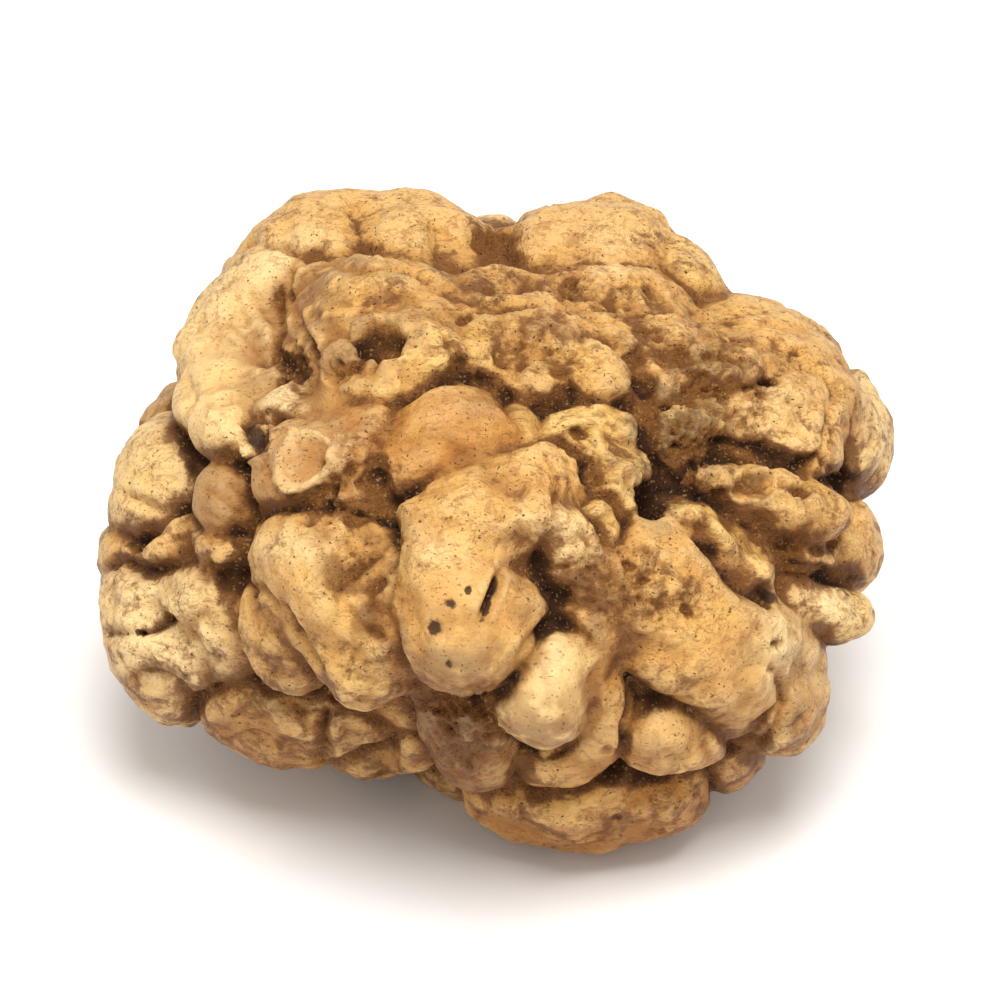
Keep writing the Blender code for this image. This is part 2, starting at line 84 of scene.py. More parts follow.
# The lobes of the back and underside, on a spiral round the core
BACK_SPIRAL = 74
BACK_FACING = -0.12  # they start where the skin turns this far from the face
BACK_LOBE = (6.5, 10.5)
BACK_LOBE_DEPTH = 7.5
BACK_PUSH = (-1.0, 3.0)
BACK_STRETCH = (0.8, 1.25)
BACK_BLEND = 0.8
BACK_SEED = 7
BACK_PAINTS = ["ochre", "ochre", "straw", "tan", "pale", "ochre"]
BACK_PAINT_SEED = 5

REST_HEIGHT = 1.6  # the flat spot lies at this height over the frame's zero
START_GAP = 1.2  # how far outside the lobes the skin starts
LOBE_REACH = 11.0  # past this a lobe no longer pulls at the skin
ROUNDS = 6
LONGEST_STEP = 0.8
FAR = 1000.0
FIRST_VOXEL = 0.7
FINE_VOXEL = 0.42
TRIANGLES = 197000

SEAM_DEPTH = 1.7  # the groove where two families meet
SEAM_WIDTH = 0.8
LINE_SPACING = 0.3
CREASE_SWELL = 0.22  # the skin puffs up beside a crease by this part of its depth
SCAR_RIM = 0.5  # a pit with a rim this high is a flat scar
RIM_WIDTH = 0.42
OPEN_RAYS = 14
OPEN_REACH = 9.0
DARK_PAINT = 370  # a paint darker than this goes on in mottled patches

FLOOR_SIZE = 3.0
FLOOR_COLOUR = (0.93, 0.925, 0.915)
SKY_COLOUR = (1.0, 0.985, 0.965)
SKY_STRENGTH = 0.8
SOFTBOX_PLACE = (0.05, -0.22, 0.82)
SOFTBOX_AIM = Vector((0, 0, 0.03))
SOFTBOX_SIZE = 0.55
SOFTBOX_POWER = 7.8
SOFTBOX_COLOUR = (1.0, 0.985, 0.96)
CAMERA_TARGET = Vector((0.0002, 0.0001, 0.0314))
CAMERA_DISTANCE = 1.5
CAMERA_SHIFT = (0.002, 0.023)
VIEW_WIDTH = 0.120

# family: (paint, blend, {lobe: (across, up, lift off the core, half length, half width,
#     half depth, roll)})
FACE_LOBES = {
    "crest": ("ochre", 1.2, {
        "bed": (-15, 29, -5, 14, 8, 12, 6), "left": (-25.5, 31.4, -4, 8.6, 5.6, 11, 32),
        "top": (-12, 31, -4, 8.6, 8.4, 13, 0), "fall": (-5, 29.6, -3.5, 6, 3.62, 9, -50),
        "middle": (-17.5, 30.5, -3, 4.37, 7.6, 11, 0), "boss": (-20.8, 34, 2.4, 1.4, 1.4, 6, 0),
        "upper": (-21.6, 33.6, -3.2, 6.6, 4.88, 10, 12),
        "ridge": (-10.4, 33.4, 0.6, 5.6, 1.6, 8, -72),
    }),
    "rim": ("pale", 0.8, {
        "bed": (-31.6, 19.4, -3, 6.2, 12, 11, -14), "pale": (-28, 29, 2.4, 5.2, 3.4, 8, 48),
        "fold_1": (-30, 24.4, 2.4, 6, 2.2, 8, -56), "fold_2": (-32.6, 19.6, 2, 5.6, 3.88, 9, -28),
        "torn_root": (-33.6, 14, 2.5, 4.88, 4.12, 8, -20),
        "torn": (-31, 10.2, 3.2, 6.4, 3.12, 6.5, -40), "top": (-31, 26.4, -0.6, 3.2, 2.6, 9, -52),
        "slope": (-28.8, 18.4, -0.6, 5.2, 6.4, 7, -20),
        "slope_low": (-27.2, 15, 1.6, 3.8, 2.4, 6, 25),
        "torn_low": (-28.8, 8.6, 3.6, 2.88, 1.88, 5.5, -55),
        "slope_up": (-27.6, 23.4, -0.6, 4.2, 3, 7, -72), "pale_low": (-26.8, 27, 1, 2.6, 2.4, 6, 0),
    }),
    "torn_knobs": ("cream", 0.7, {
        "one": (-25.8, 15, 4.6, 2.8, 1.2, 4.5, 24), "two": (-23.4, 13, 4.8, 1.7, 1.1, 4, -30),
        "three": (-28.8, 13.6, 4.4, 1.7, 1.1, 4, 0),
    }),
    "crown": ("ochre", 1.5, {
        "bed": (-13.2, 23.4, 4.2, 9.6, 7, 7, -8), "edge": (-21.8, 26.6, 6.2, 3.1, 4.8, 6.6, 12),
        "head": (-14, 27, 5, 6.8, 3.3, 6, -8), "heel": (-19.4, 20.6, 5, 2.1, 3.2, 6, 8),
        "crater": (-14.2, 21, 5.4, 4.2, 3.8, 6, 20), "yellow": (-9.2, 19.2, 5.6, 3.2, 2.6, 6, 8),
        "band": (-13.5, 16, 5.4, 7.4, 2.62, 6, 10), "edge_low": (-21.4, 22.8, 5.6, 2, 2.7, 6, 10),
    }),
    "tongue": ("toffee", 0.6, {"tongue": (-18.2, 19.2, 10.4, 1.8, 1.6, 3.4, 10)}),
    "drop": ("ochre", 0.6, {"drop": (-20.6, 14.6, 7.4, 0.6, 2, 3.6, -8)}),
    "scar": ("tan", 1.6, {
        "knob": (-23.6, 6.2, 6.2, 3.8, 4, 6.5, 0), "hood": (-22.4, 10.8, 4.8, 2.2, 0.7, 4.4, 10),
        "right": (-19.6, 7.2, 5.2, 2, 3.4, 5.5, 0), "foot": (-21.4, 2, 4, 4, 0.7, 4.5, 12),
    }),
    "valley": ("tan", 0.9, {
        "bed": (-15.5, 5.5, 4.2, 8.4, 7.2, 6, -10), "ridge": (-17.5, 1.6, 5.2, 5.8, 0.95, 3.5, 20),
        "ridge_2": (-12.5, 0.6, 6, 4.12, 0.95, 3.5, 10), "top": (-15, 12, 4.4, 4.62, 2.12, 5, 0),
    }),
    "ball": ("toffee", 0.5, {"ball": (-32, 2.9, 4, 3.25, 3.75, 5.2, 0)}),
    "shoulder": ("pale", 0.8, {
        "bed": (-38, 2, -4, 7, 8, 10, 0), "shoulder": (-40.8, 5.8, 0.4, 4.75, 6.2, 10, -10),
        "fold": (-41.2, 0.2, 0.2, 5.12, 1.55, 9, -10),
    }),
    "cheek_left": ("ochre", 0.8, {
        "cheek": (-44, -4.2, -2.6, 3.38, 3.62, 10, 0),
        "light_fold": (-38.2, -2.4, 3, 4.62, 1.88, 7, 18),
        "brown_fold": (-32.4, -3.2, 1.8, 3.12, 1.65, 6, -12),
    }),
    "belly": ("pale", 0.8, {
        "bed": (-36, -10, -3, 10, 7, 10, 0), "belly": (-42.6, -9.2, 0.6, 4.88, 4.37, 10, 8),
        "inner": (-35, -8.4, 2.4, 4.88, 3.38, 8, 2), "jowl": (-38.8, -15.6, 2, 8, 4.62, 10, -18),
        "jowl_inner": (-31.8, -14, 2.2, 4.62, 4.12, 8, -15),
        "under": (-39.4, -20.2, -3.2, 4.62, 3.12, 8, -28),
    }),
    "foot": ("ochre", 0.8, {
        "bed": (-21, -21.5, -4.5, 13, 5.5, 9, -12),
        "left": (-28.6, -23.2, -1.1, 8.6, 4.62, 10, -18),
        "fold": (-20.8, -24, -1.6, 1.45, 3.38, 8, 15),
    }),
    "foot_right": ("ochre", 0.7, {
        "middle": (-15.8, -25.4, -2, 5.38, 4.12, 9, -4),
        "toe": (-10.2, -26, -2.5, 2.88, 3.38, 7, 20),
    }),
    "wedge": ("ochre", 1.2, {
        "bed": (-18.5, -8, 4.2, 9, 7.6, 7, -40), "corner": (-24.8, -3.8, 6, 3.88, 3.5, 6.5, 0),
        "top": (-19.4, -4.2, 6, 6.4, 3.38, 6.5, -6),
        "right": (-13.6, -5.4, 6.2, 3.38, 4.88, 6, -10),
        "ridge": (-19.8, -9.6, 7.2, 7.2, 2.88, 7.5, -52),
        "low": (-13.2, -14, 7.6, 3.12, 3.12, 7, -40),
        "knob": (-16.4, -17.2, 7.8, 4.37, 3.38, 6.8, -30),
    }),
    "flap": ("ochre", 0.7, {"flap": (-26, -13, 4.4, 6.6, 3.88, 6.4, 110)}),
    "wing": ("pale", 1, {"wing": (-12, -6.6, 8.4, 1.15, 3.88, 5, -18)}),
    "cone": ("amber", 1.4, {
        "bed": (-6, 8.6, 4.5, 6.2, 4.8, 6, 35), "top": (-5.6, 11.6, 5.8, 3.62, 3.88, 6, 0),
        "base": (-9.8, 6.2, 5.4, 3.5, 3.5, 6, 40), "side": (-1.4, 8.6, 5.6, 3.62, 2.62, 5, -15),
    }),
    "cone_knobs": ("straw", 0.45, {
        "one": (2.2, 11.8, 4.6, 1.88, 1.35, 4, -15), "two": (3.7, 9.2, 5.2, 1.25, 1.45, 4, 0),
    }),
    "neck": ("ochre", 1.2, {
        "neck": (3, 4.6, 8.2, 5.12, 3.12, 5.5, 5), "fold": (7.6, 4.2, 7.2, 1.65, 3.38, 5, 25),
    }),
    "nose": ("ochre", 1, {
        "bridge": (-3.6, 0.2, 9.8, 6.6, 4.62, 6.5, 12), "ball": (-5, -7.6, 11, 6.2, 6.2, 8, 20),
        "tip": (-3.7, -13.9, 10.8, 6.6, 5, 7.5, 3), "cheek": (3, -10.2, 9.2, 1.45, 1.25, 5, -20),
        "inner": (3.2, -1.4, 8, 3.2, 3, 5, 0),
    }),
    "brow": ("pale", 1.6, {
        "brow": (6.4, -1.2, 7.9, 4.9, 2.8, 4.8, -14), "shade": (6.6, -7, 6, 4.4, 1.8, 4, -8),
    }),
    "brow_knobs": ("straw", 0.45, {
        "one": (11.4, 0.8, 7.4, 0.85, 0.75, 4, 0), "two": (13.1, -2, 6.8, 0.7, 0.7, 3.5, 0),
    }),
    "egg": ("pale", 0.5, {
        "egg": (5.7, -20, 10.4, 5.5, 4.3, 6.2, 80), "top": (6.7, -17, 10.2, 3.4, 3.6, 5.4, 0),
    }),
    "collar": ("amber", 1.2, {
        "top": (12.7, -18, 7.6, 2.12, 0.75, 4.5, 84), "side": (12.6, -21.4, 8.4, 2.62, 1.05, 5, 88),
        "bend": (12, -25, 9, 2.62, 1.55, 5.5, 72), "corner": (10.4, -27.2, 9.4, 2.88, 2.2, 6, 35),
        "front": (7, -28.4, 9.4, 3.4, 2.4, 6, 0), "end": (3.8, -27.8, 8.4, 2.38, 1.88, 5.5, -35),
    }),
    "knob": ("ochre", 1.2, {
        "knob": (20, -23.8, 17, 4.6, 4.5, 6.4, 60), "side": (24, -26.6, 13, 2, 2, 5, 0),
    }),
    "throat": ("brown", 0.9, {
        "bed": (-2.5, -26, 2.5, 4.6, 5.6, 7, 15), "left": (-4.2, -22.4, 4.6, 4.12, 4.37, 6, 0),
    }),
    "plain": ("ochre", 1.8, {
        "fill": (11.4, -11.6, 3.6, 3.2, 4.4, 6, 15), "bed": (20, -11, 1.5, 11, 8, 8, -45),
        "low": (26.2, -16.8, 4.8, 6, 7.2, 8, 10), "mid": (20.6, -12.6, 4.6, 7.5, 5.6, 7, -40),
        "upper": (17.4, -6.6, 4.4, 4.62, 4.37, 6.5, 0), "crest": (20, -2.8, 3.4, 4.88, 2, 5.5, -22),
        "edge": (27, -9.2, 3, 7, 2.38, 6, -40), "foot": (28.6, -22.4, 5.4, 3.4, 2.6, 6, 0),
        "fill_2": (9.4, -9.2, 5.2, 3.4, 3, 4.6, -10),
    }),
    "flank": ("pale", 0.8, {
        "upper": (35, -14.4, 8.6, 3.4, 5.2, 8.5, 10), "lower": (34.8, -21.4, 5, 4.2, 5.6, 9.5, 0),
        "brown": (30.4, -27, -0.5, 2.62, 1.65, 6, 25),
    }),
    "chin": ("amber", 1.4, {
        "chin": (10, -32.6, -0.6, 10.8, 5.12, 10, 4), "front": (13, -33.2, -1.6, 8.4, 4.12, 9, 4),
        "right": (21.6, -32.6, -1.4, 3.88, 3.38, 8, 20), "left": (1.4, -32.2, -1, 2.62, 3.12, 8, 0),
    }),
    "chin_side": ("tan", 0.7, {"side": (28.6, -29.4, -3, 3.62, 2.38, 8, 35)}),
    "knots": ("straw", 0.35, {
        "bed": (11, 6.8, 2.2, 6.6, 4, 5, -52), "top": (9.6, 11.2, 5.6, 2.62, 1.25, 4.4, -10),
        "side": (14.9, 10.8, 4.8, 0.95, 1.05, 4, 0),
        "middle": (11.6, 7.6, 5.9, 1.88, 1.25, 4.6, -30),
        "right": (15.4, 7, 5.2, 1.15, 0.95, 3.5, 0), "low": (13, 4.2, 6, 1.55, 1.15, 4.2, 0),
        "lowest": (15.2, 1.6, 5, 0.95, 1.15, 4, 0), "foot": (10.4, 4, 6, 0.85, 1.05, 4, 0),
        "top_left": (6.8, 10.6, 5.6, 0.95, 0.95, 3.6, 0),
        "top_right": (12.6, 11.9, 5.6, 1.25, 0.95, 3.6, 0), "tip": (15.9, 4.6, 5.2, 0.7, 0.7, 3, 0),
    }),
    "shelf": ("amber", 0.7, {
        "shelf": (32, 2.6, 2.8, 9.8, 2.62, 7, -8), "top": (25.4, 5.2, 3.4, 2.38, 1.05, 5, 5),
        "top_right": (36.8, 4.6, 3, 2.88, 0.85, 5, -10),
    }),
    "bone": ("straw", 0.6, {
        "head": (22.4, 1.2, 4, 2.75, 0.85, 4, -10), "shaft": (26.8, -1.5, 4.6, 3.5, 0.9, 5, -40),
        "foot": (30, -5, 5.6, 2.4, 1.5, 4, -40),
    }),
    "roll": ("straw", 0.6, {"roll": (37.2, -9.2, 8.4, 7.4, 3, 8, -28)}),
    "cheek": ("ochre", 0.7, {
        "cheek": (42, -3, 1.2, 3.6, 4.9, 10, 0), "tendon": (35.6, -3.4, 3.4, 4.6, 1, 5, -18),
        "tendon_2": (34.6, -1.6, 2.4, 3.6, 0.7, 4.5, -12),
        "strap": (37.2, -5.2, 2.6, 3.2, 1, 4.5, -28),
    }),
    "right": ("ochre", 1.3, {
        "bed": (30, 15, -3.5, 12, 7.5, 9, -10), "crest": (31.4, 22.4, -1.4, 8.2, 4.12, 12, -10),
        "crest_end": (38, 19.2, -2, 3.62, 3.88, 11, -10),
        "palm": (35, 12.2, 3.6, 6.4, 4.37, 7.5, -5), "middle": (28, 15.6, 2.8, 7.4, 4.12, 6.5, -5),
        "inner": (22, 19.5, 2.2, 5.6, 3.88, 6, 0), "under": (30.5, 9.6, 0.6, 9.5, 3.12, 6, -6),
        "soil": (21, 10.4, 1.4, 4.12, 6, 5, 0),
    }),
    "bulb": ("pale", 0.9, {"bulb": (42.8, 10.6, -1.5, 5, 6.1, 11.5, 0)}),
    "lip": ("pale", 0.6, {"lip": (40.8, 8.8, 2.2, 1.65, 3.88, 6.5, 18)}),
    "top": ("ochre", 1, {
        "bed": (12, 28.5, -5, 13, 7.5, 11, -5), "main": (14, 31.4, -3.5, 7.4, 7.2, 12, 0),
        "left": (6.3, 32.3, -3.5, 3.88, 5.6, 10, 0), "low": (14.5, 25.8, -0.2, 8, 4.37, 7, -4),
    }),
    "top_right": ("straw", 0.9, {
        "right": (22.6, 29.6, -2, 3.88, 4.37, 9.5, 0),
        "skirt": (24.6, 26.8, -1.6, 3.62, 2.38, 7, -10),
    }),
    "saddle": ("tan", 0.9, {"saddle": (-0.6, 30.4, -4, 3.88, 3.5, 9, 0)}),
    "band": ("ochre", 0.8, {
        "bed": (4, 20, 0.4, 11, 5.6, 5, -3), "rough": (4.6, 21.6, 3.4, 6.6, 2.62, 5, -4),
        "low": (4.6, 16.6, 3.6, 3.38, 1.65, 4, 0), "left": (-3, 18.8, 4.6, 2.38, 2.38, 4, 0),
        "top": (-2.6, 25.6, 1, 4.37, 2.5, 5, 0), "end": (11, 22, 2, 4.12, 1.88, 5, -10),
    }),
    "band_ball": ("ochre", 0.6, {
        "ball": (12.4, 16.8, 4.2, 3.5, 3.25, 5.2, 0), "knob": (8.6, 19.2, 4.6, 1.05, 0.85, 3.5, 0),
    }),
}

# Where neighbouring families flow together: (across, up, radius, added blend)
MERGES = [
    (-10, 27, 6, 1.2), (-2, 26, 8, 1), (10, 25, 9, 1), (20, 24, 7, 1.2), (27, 21, 7, 1),
    (3, 30, 6, 0.8), (-12, 22, 5, 0.6), (14, -7, 7, 1.2), (34, 15, 6, 0.6), (-34, -12, 6, 0.6),
    (-30, 17, 6, 0.8), (-26, -21, 6, 0.5), (12, -17, 3, 0.8), (41, 15.5, 4.5, 1.4),
    (-26, 31, 3, 0.5), (-17, 3, 6, 0.8), (-8, -26, 3, 0.6), (0, 33, 4, 0.8), (4.5, 1.4, 4.5, 1.8),
    (33.6, -13, 5, 2), (34, -19, 3, 0.6), (-13, 12.5, 4, 0.8), (-19, 8, 3, 0.8),
    (9.6, -5.6, 3, 0.8), (13, -12, 4, 0.8),
]

# Folds pressed in along a line: (depth, width, (across, up), ...)
CREASES = {
    "crown_top": (1.1, 1, (-23.6, 31.2), (-21.9, 31.9), (-20, 31.7), (-18.7, 30.9), (-16.7, 30.4),
        (-14, 30.6), (-11.5, 30.5), (-9, 29.8), (-7.4, 28.6)),
    "boss": (0.8, 0.7, (-23.4, 34.4), (-23, 32.8), (-21.4, 31.8), (-19.6, 31.9), (-18.4, 33.2),
        (-18.4, 35)),
    "rim_a": (1.26, 0.92, (-32.5, 32.6), (-30, 33.9), (-27, 33.7), (-24.4, 33), (-22.6, 32.2)),
    "rim_b": (1.3, 1, (-35, 29.4), (-32.5, 28.6), (-31.3, 26.5), (-29.8, 23.6), (-27.8, 21.4)),
    "rim_c": (1.19, 1.26, (-37.4, 24.6), (-35, 22.8), (-33, 21.9), (-30.5, 21), (-28, 19.6)),
    "rim_d": (0.9, 0.92, (-39, 19.4), (-37.4, 17.4), (-36.4, 15), (-36, 13)),
    "rim_e": (0.8, 0.92, (-36, 14.6), (-33.5, 14.2), (-31, 14.8), (-28, 15.6)),
    "rim_f": (1.14, 0.8, (-33.5, 24.6), (-31, 22.6), (-29, 20.4), (-26.6, 18.2)),
    "torn_wrinkle": (0.6, 0.5, (-27, 12.4), (-25, 12.4), (-23.4, 13.4), (-22.2, 14)),
    "torn_wrinkle_2": (0.5, 0.5, (-29.8, 13.4), (-28.4, 12.8), (-27, 13.2), (-25.6, 14.4)),
    "ball_stripe": (0.45, 0.45, (-35.6, 4.6), (-33, 3.2), (-30.4, 1.4), (-28.6, 0)),
    "ball_stripe_2": (0.35, 0.4, (-35, 1.6), (-32.6, 0.2), (-29.8, -1)),
    "ball_stripe_3": (0.3, 0.4, (-34.8, 6.4), (-32, 5), (-29.4, 3.4)),
    "shoulder_fold": (0.9, 0.6, (-45.6, 4), (-43.5, 3), (-41, 1.8), (-38.5, 1.1), (-36.2, 1.8)),
    "cheek_stripe": (0.5, 0.5, (-45.6, -1.8), (-46, -4), (-47, -6)),
    "belly_under": (1.3, 0.7, (-48, -13.2), (-44.5, -13.3), (-42, -12.9), (-39.5, -11.8),
        (-37.6, -11)),
    "belly_stripe": (0.4, 0.8, (-40.2, -5.4), (-39.8, -7.4), (-38, -9)),
    "jowl_under": (1.2, 1, (-43.6, -18.6), (-40.5, -18.3), (-38.2, -19.1), (-36.4, -21.3),
        (-37.4, -23.4)),
    "jowl_inner": (0.7, 0.9, (-36.4, -13), (-35, -15), (-34.8, -17.4), (-33.4, -19.4)),
    "foot_fold_a": (0.8, 0.7, (-24.4, -20.8), (-22.9, -23.4), (-22.2, -26.4)),
    "foot_fold_b": (1.7, 0.8, (-20, -21.4), (-20.8, -24.6), (-20.5, -27.4), (-21, -30)),
    "foot_toe": (0.8, 0.7, (-13.6, -23.6), (-12.4, -25.5), (-12.8, -28), (-13.8, -31)),
    "foot_wrinkle": (0.4, 0.5, (-18.8, -22.4), (-18, -25), (-18.4, -27)),
    "foot_wrinkle_2": (0.35, 0.5, (-16.2, -23.6), (-16, -26), (-16.6, -28)),
    "flap_slit": (1.4, 0.5, (-29.2, -8.8), (-27.8, -7.7), (-26.6, -8.8), (-25.6, -10.4)),
    "wedge_valley": (1.4, 1.8, (-12.2, -0.8), (-14.6, -3.6), (-17, -6.4), (-19.6, -8.6)),
    "saddle": (0.9, 0.9, (-3.4, 34.8), (-2, 33.2), (0, 32), (1.8, 31.6), (3, 32.8)),
    "band_slit": (1.5, 0.8, (-2.2, 25.2), (0, 25.8), (2.4, 26.5), (5.5, 26.3), (8, 25.9),
        (10.8, 25)),
    "band_fold": (0.8, 0.7, (-6, 25.6), (-4.8, 24.2), (-4, 22.4), (-5.6, 21.2)),
    "yellow_right": (1, 0.6, (-6.4, 22.6), (-5, 20.6), (-5, 18.2), (-6.2, 16.6)),
    "ball_right": (2, 1.1, (11.8, 22.4), (14.4, 20.9), (16.4, 18.7), (17.3, 16.2), (18.2, 14)),
    "band_knob": (0.5, 0.5, (7.2, 20.6), (6.8, 18.8), (8.2, 17.6), (10, 17.8)),
    "furrow": (1.3, 0.9, (18.6, 14.4), (22, 15), (25, 16), (28.5, 16), (31.4, 16.7), (33.6, 17.8)),
    "furrow_2": (0.7, 0.9, (20.6, 20.6), (25, 20.1), (29, 21), (33, 20.5), (36.4, 20.4)),
    "furrow_3": (0.6, 0.8, (27, 24.6), (30.6, 23.8), (34.6, 23.6), (38, 23.2)),
    "palm_right": (0.8, 0.8, (36, 19), (38.6, 18), (40.4, 16), (40, 13), (38.8, 10.6)),
    "palm_under": (1.6, 1, (24.6, 11), (27.4, 9.5), (30.2, 8.9), (32.6, 7.6), (35, 6.8),
        (37.6, 7.4), (39.2, 9)),
    "lip_left": (1.1, 0.7, (39.6, 12.4), (39, 9.6), (38.8, 7.2), (40.4, 5.6), (42.4, 4.2)),
    "tendon_a": (0.9, 0.6, (31.4, -1.8), (34, -2.9), (38, -3.3), (40.6, -2)),
    "tendon_b": (0.9, 0.6, (33, -4.2), (36, -4.8), (39, -5.8), (41.6, -6.4)),
    "flank": (1.2, 0.7, (33.2, -18), (33.8, -20), (33.8, -22), (33, -24.2), (30.6, -26.6)),
    "knob_side": (0.9, 0.7, (24.6, -25.2), (25, -27), (25.6, -29)),
    "chin_wrinkle": (0.4, 0.4, (3, -36.6), (8, -37.9), (12, -37.3), (14.6, -38.4)),
    "bridge_line": (0.4, 0.8, (-10.6, -2.4), (-8.4, -1.4), (-6.4, 0.2)),
    "slit": (2.2, 0.5, (0.9, -5.2), (0.3, -6.4), (-0.5, -8.4), (-1.2, -10), (-1.9, -11.4)),
    "brow": (0.7, 0.7, (0.6, -5), (3, -5.2), (6.5, -5.6), (9.6, -5.1), (11.4, -4.2)),
    "neck_fold": (0.8, 0.5, (5.2, 7.8), (6.8, 5.7), (7.3, 3.5), (7, 1.3)),
    "wedge_pinch": (0.5, 0.9, (-20.4, -16.6), (-18.6, -15.2), (-16.6, -15), (-14.4, -15.6)),
    "jowl_cross": (0.5, 0.9, (-33.5, -10.2), (-35.2, -11.6), (-37, -12.6)),
    "collar_fold": (0.7, 0.5, (9.8, -23.4), (9.2, -25.4), (7.6, -27), (5.6, -27.6)),
    "crest_valley": (1.8, 1.6, (-17.4, 39), (-16.8, 36), (-16.2, 33), (-15.6, 31)),
    "wedge_groove": (1.3, 1.1, (-19.4, -7), (-17.4, -10), (-15.4, -12.4), (-12.6, -14)),
    "tongue_edge": (1.3, 0.4, (-17.2, 22.2), (-15.2, 21.2), (-14.2, 19.4), (-14.6, 17.2)),
    "bone_groove": (2.4, 1.2, (23.2, -1), (25, -3), (27.4, -5.8), (30.4, -8), (33.6, -9.4)),
    "crown_side": (1.4, 0.6, (-24.6, 31), (-24.8, 28), (-24.2, 25), (-23, 22.4), (-21.6, 20.4),
        (-21.4, 18)),
    "rim_g": (1, 0.8, (-30.4, 28.6), (-28.4, 26), (-26.4, 23.4), (-24.8, 21.2)),
    "rim_h": (0.8, 0.7, (-33, 27.6), (-31.4, 24.6), (-29.4, 21.8), (-26.8, 19.6)),
    "wedge_groove_2": (1.2, 0.8, (-25.4, -9.4), (-24, -11.6), (-22.6, -14.6), (-20, -17.6)),
    "collar_inner": (0.5, 0.5, (11.2, -16.4), (11.8, -19.6), (11.4, -22.6), (9.8, -25.2), (7, -27)),
    "knob_crack": (1.6, 0.5, (15.4, -18.6), (15.5, -21), (14.9, -23.8), (14.8, -26.4),
        (14.6, -28.6)),
    "egg_top": (0.9, 0.6, (2.6, -16), (4, -13.6), (6, -12), (8.4, -12), (10.2, -13.6), (11.2, -16)),
    "crest_valley_2": (1.2, 1.2, (-7.6, 37.4), (-6.8, 34.6), (-7.2, 31.6)),
    "crest_left": (0.9, 0.9, (-26.4, 37), (-25, 35), (-23.6, 33.4)),
}

# Pits, scars and spots: (across, up, half length, half width, roll, depth, rim height)
DENTS = {
    "crater": (-13.9, 21.6, 3.2, 2.8, -15, 3.2, 0.5),
    "crater_slit": (-14.4, 18.6, 1.3, 0.5, 75, 0.8, 0),
    "torn": (-28.3, 10, 3.2, 1.8, -62, 0.8, 0.6), "scar": (-22.8, 7.3, 3.2, 2.7, 60, 0.7, 0.8),
    "hole_left": (-42.6, -13, 0.5, 0.5, 0, 1.2, 0.1),
    "hole_left_2": (-38.3, -11.4, 0.6, 0.4, 60, 1, 0.1),
    "hole_left_3": (-46, -5.2, 0.6, 0.5, 0, 1, 0.1),
    "hollow_left": (-43.4, -2.6, 1.2, 0.8, 30, 1.3, 0),
    "spot_a": (-7.3, -12.2, 1.2, 1, 0, 0.35, 0.1), "spot_b": (-5.4, -9.3, 0.9, 0.8, 0, 0.2, 0),
    "spot_c": (-3.3, -7.8, 0.6, 0.6, 0, 0.25, 0.1), "spot_d": (-5.6, -16.4, 0.6, 0.6, 0, 0.3, 0.1),
    "wedge_spot": (-15.8, -20.8, 0.8, 0.7, 0, 0.35, 0.1),
    "collar_spot": (13, -26.6, 0.9, 0.9, 0, 0.5, 0.15),
    "knob_stain": (20, -27.5, 1.6, 1.2, 0, 0.35, 0),
    "knob_pit": (26.7, -24.5, 0.5, 0.5, 0, 0.3, 0.1),
    "chin_pit": (14.5, -35, 0.9, 0.5, 10, 0.5, 0.15),
    "chin_pit_2": (19.5, -37, 0.9, 0.4, 10, 0.4, 0.1),
    "flank_pit": (33, -14.5, 1, 0.7, -20, 0.7, 0.2),
    "flank_pit_2": (32.3, -17.3, 0.8, 0.7, 0, 0.6, 0.1),
    "flank_pit_3": (35, -13, 1.4, 0.6, -50, 0.5, 0.1), "deep": (18, 2.6, 1.5, 2.6, 0, 5, 0),
    "bone_hollow": (25, -3, 1.8, 1.1, -48, 1.4, 0),
    "roll_hollow": (32, -8.4, 2.2, 1.1, -30, 1.4, 0),
    "crack_hole": (15.6, -18.4, 0.6, 0.4, 0, 0.9, 0),
    "shelf_pit": (30.4, 4.6, 2.7, 1.7, 12, 1.8, 0.4),
    "shelf_pit_2": (36, 3.8, 1.8, 0.8, -14, 1, 0.3),
    "shelf_pit_3": (26.4, 3.4, 1.4, 0.6, 30, 0.5, 0.2),
    "band_hole": (0.8, 15.4, 0.8, 0.6, 0, 0.7, 0),
    "band_hole_2": (4.2, 27.4, 1.4, 0.8, 20, 1.2, 0.2),
    "band_hole_3": (-3.8, 24.2, 1, 0.7, 30, 1, 0.2),
    "band_hole_4": (16.6, 19.6, 1.4, 0.9, -40, 1.2, 0),
    "right_hole": (19.6, 14.4, 1.2, 0.7, 0, 1, 0),
    "right_hole_2": (32.4, 16.9, 1.4, 0.8, 10, 1, 0.2),
    "right_hole_3": (35.8, 20.6, 1.2, 0.6, 0, 0.8, 0.2),
    "knots_pit": (9.8, 10.8, 2, 1, -20, 0.6, 0.3),
    "knots_pit_2": (12.8, 7.4, 0.9, 0.6, 0, 0.5, 0.2), "top_pit": (6, 37, 0.9, 0.6, 30, 0.5, 0.1),
    "top_pit_2": (6.4, 31.5, 1, 0.8, 60, 0.5, 0.1), "top_pit_3": (8.6, 29.2, 0.9, 0.6, 0, 0.6, 0.1),
    "crest_pit": (-21, 37.3, 0.8, 0.5, 20, 0.5, 0.1),
    "crown_pit": (-17.2, 27.2, 0.4, 0.3, 0, 0.4, 0.1),
    "crown_dip": (-22, 24.6, 1.6, 1.2, 20, 0.5, 0.1),
    "crown_pit_2": (-23.5, 27, 0.8, 0.8, 0, 0.4, 0),
    "tongue": (-17.8, 18.9, 2.8, 2.5, 30, -0.5, 0.4),
}

# The ovals below are: (across, up, half length, half width, roll, amount)

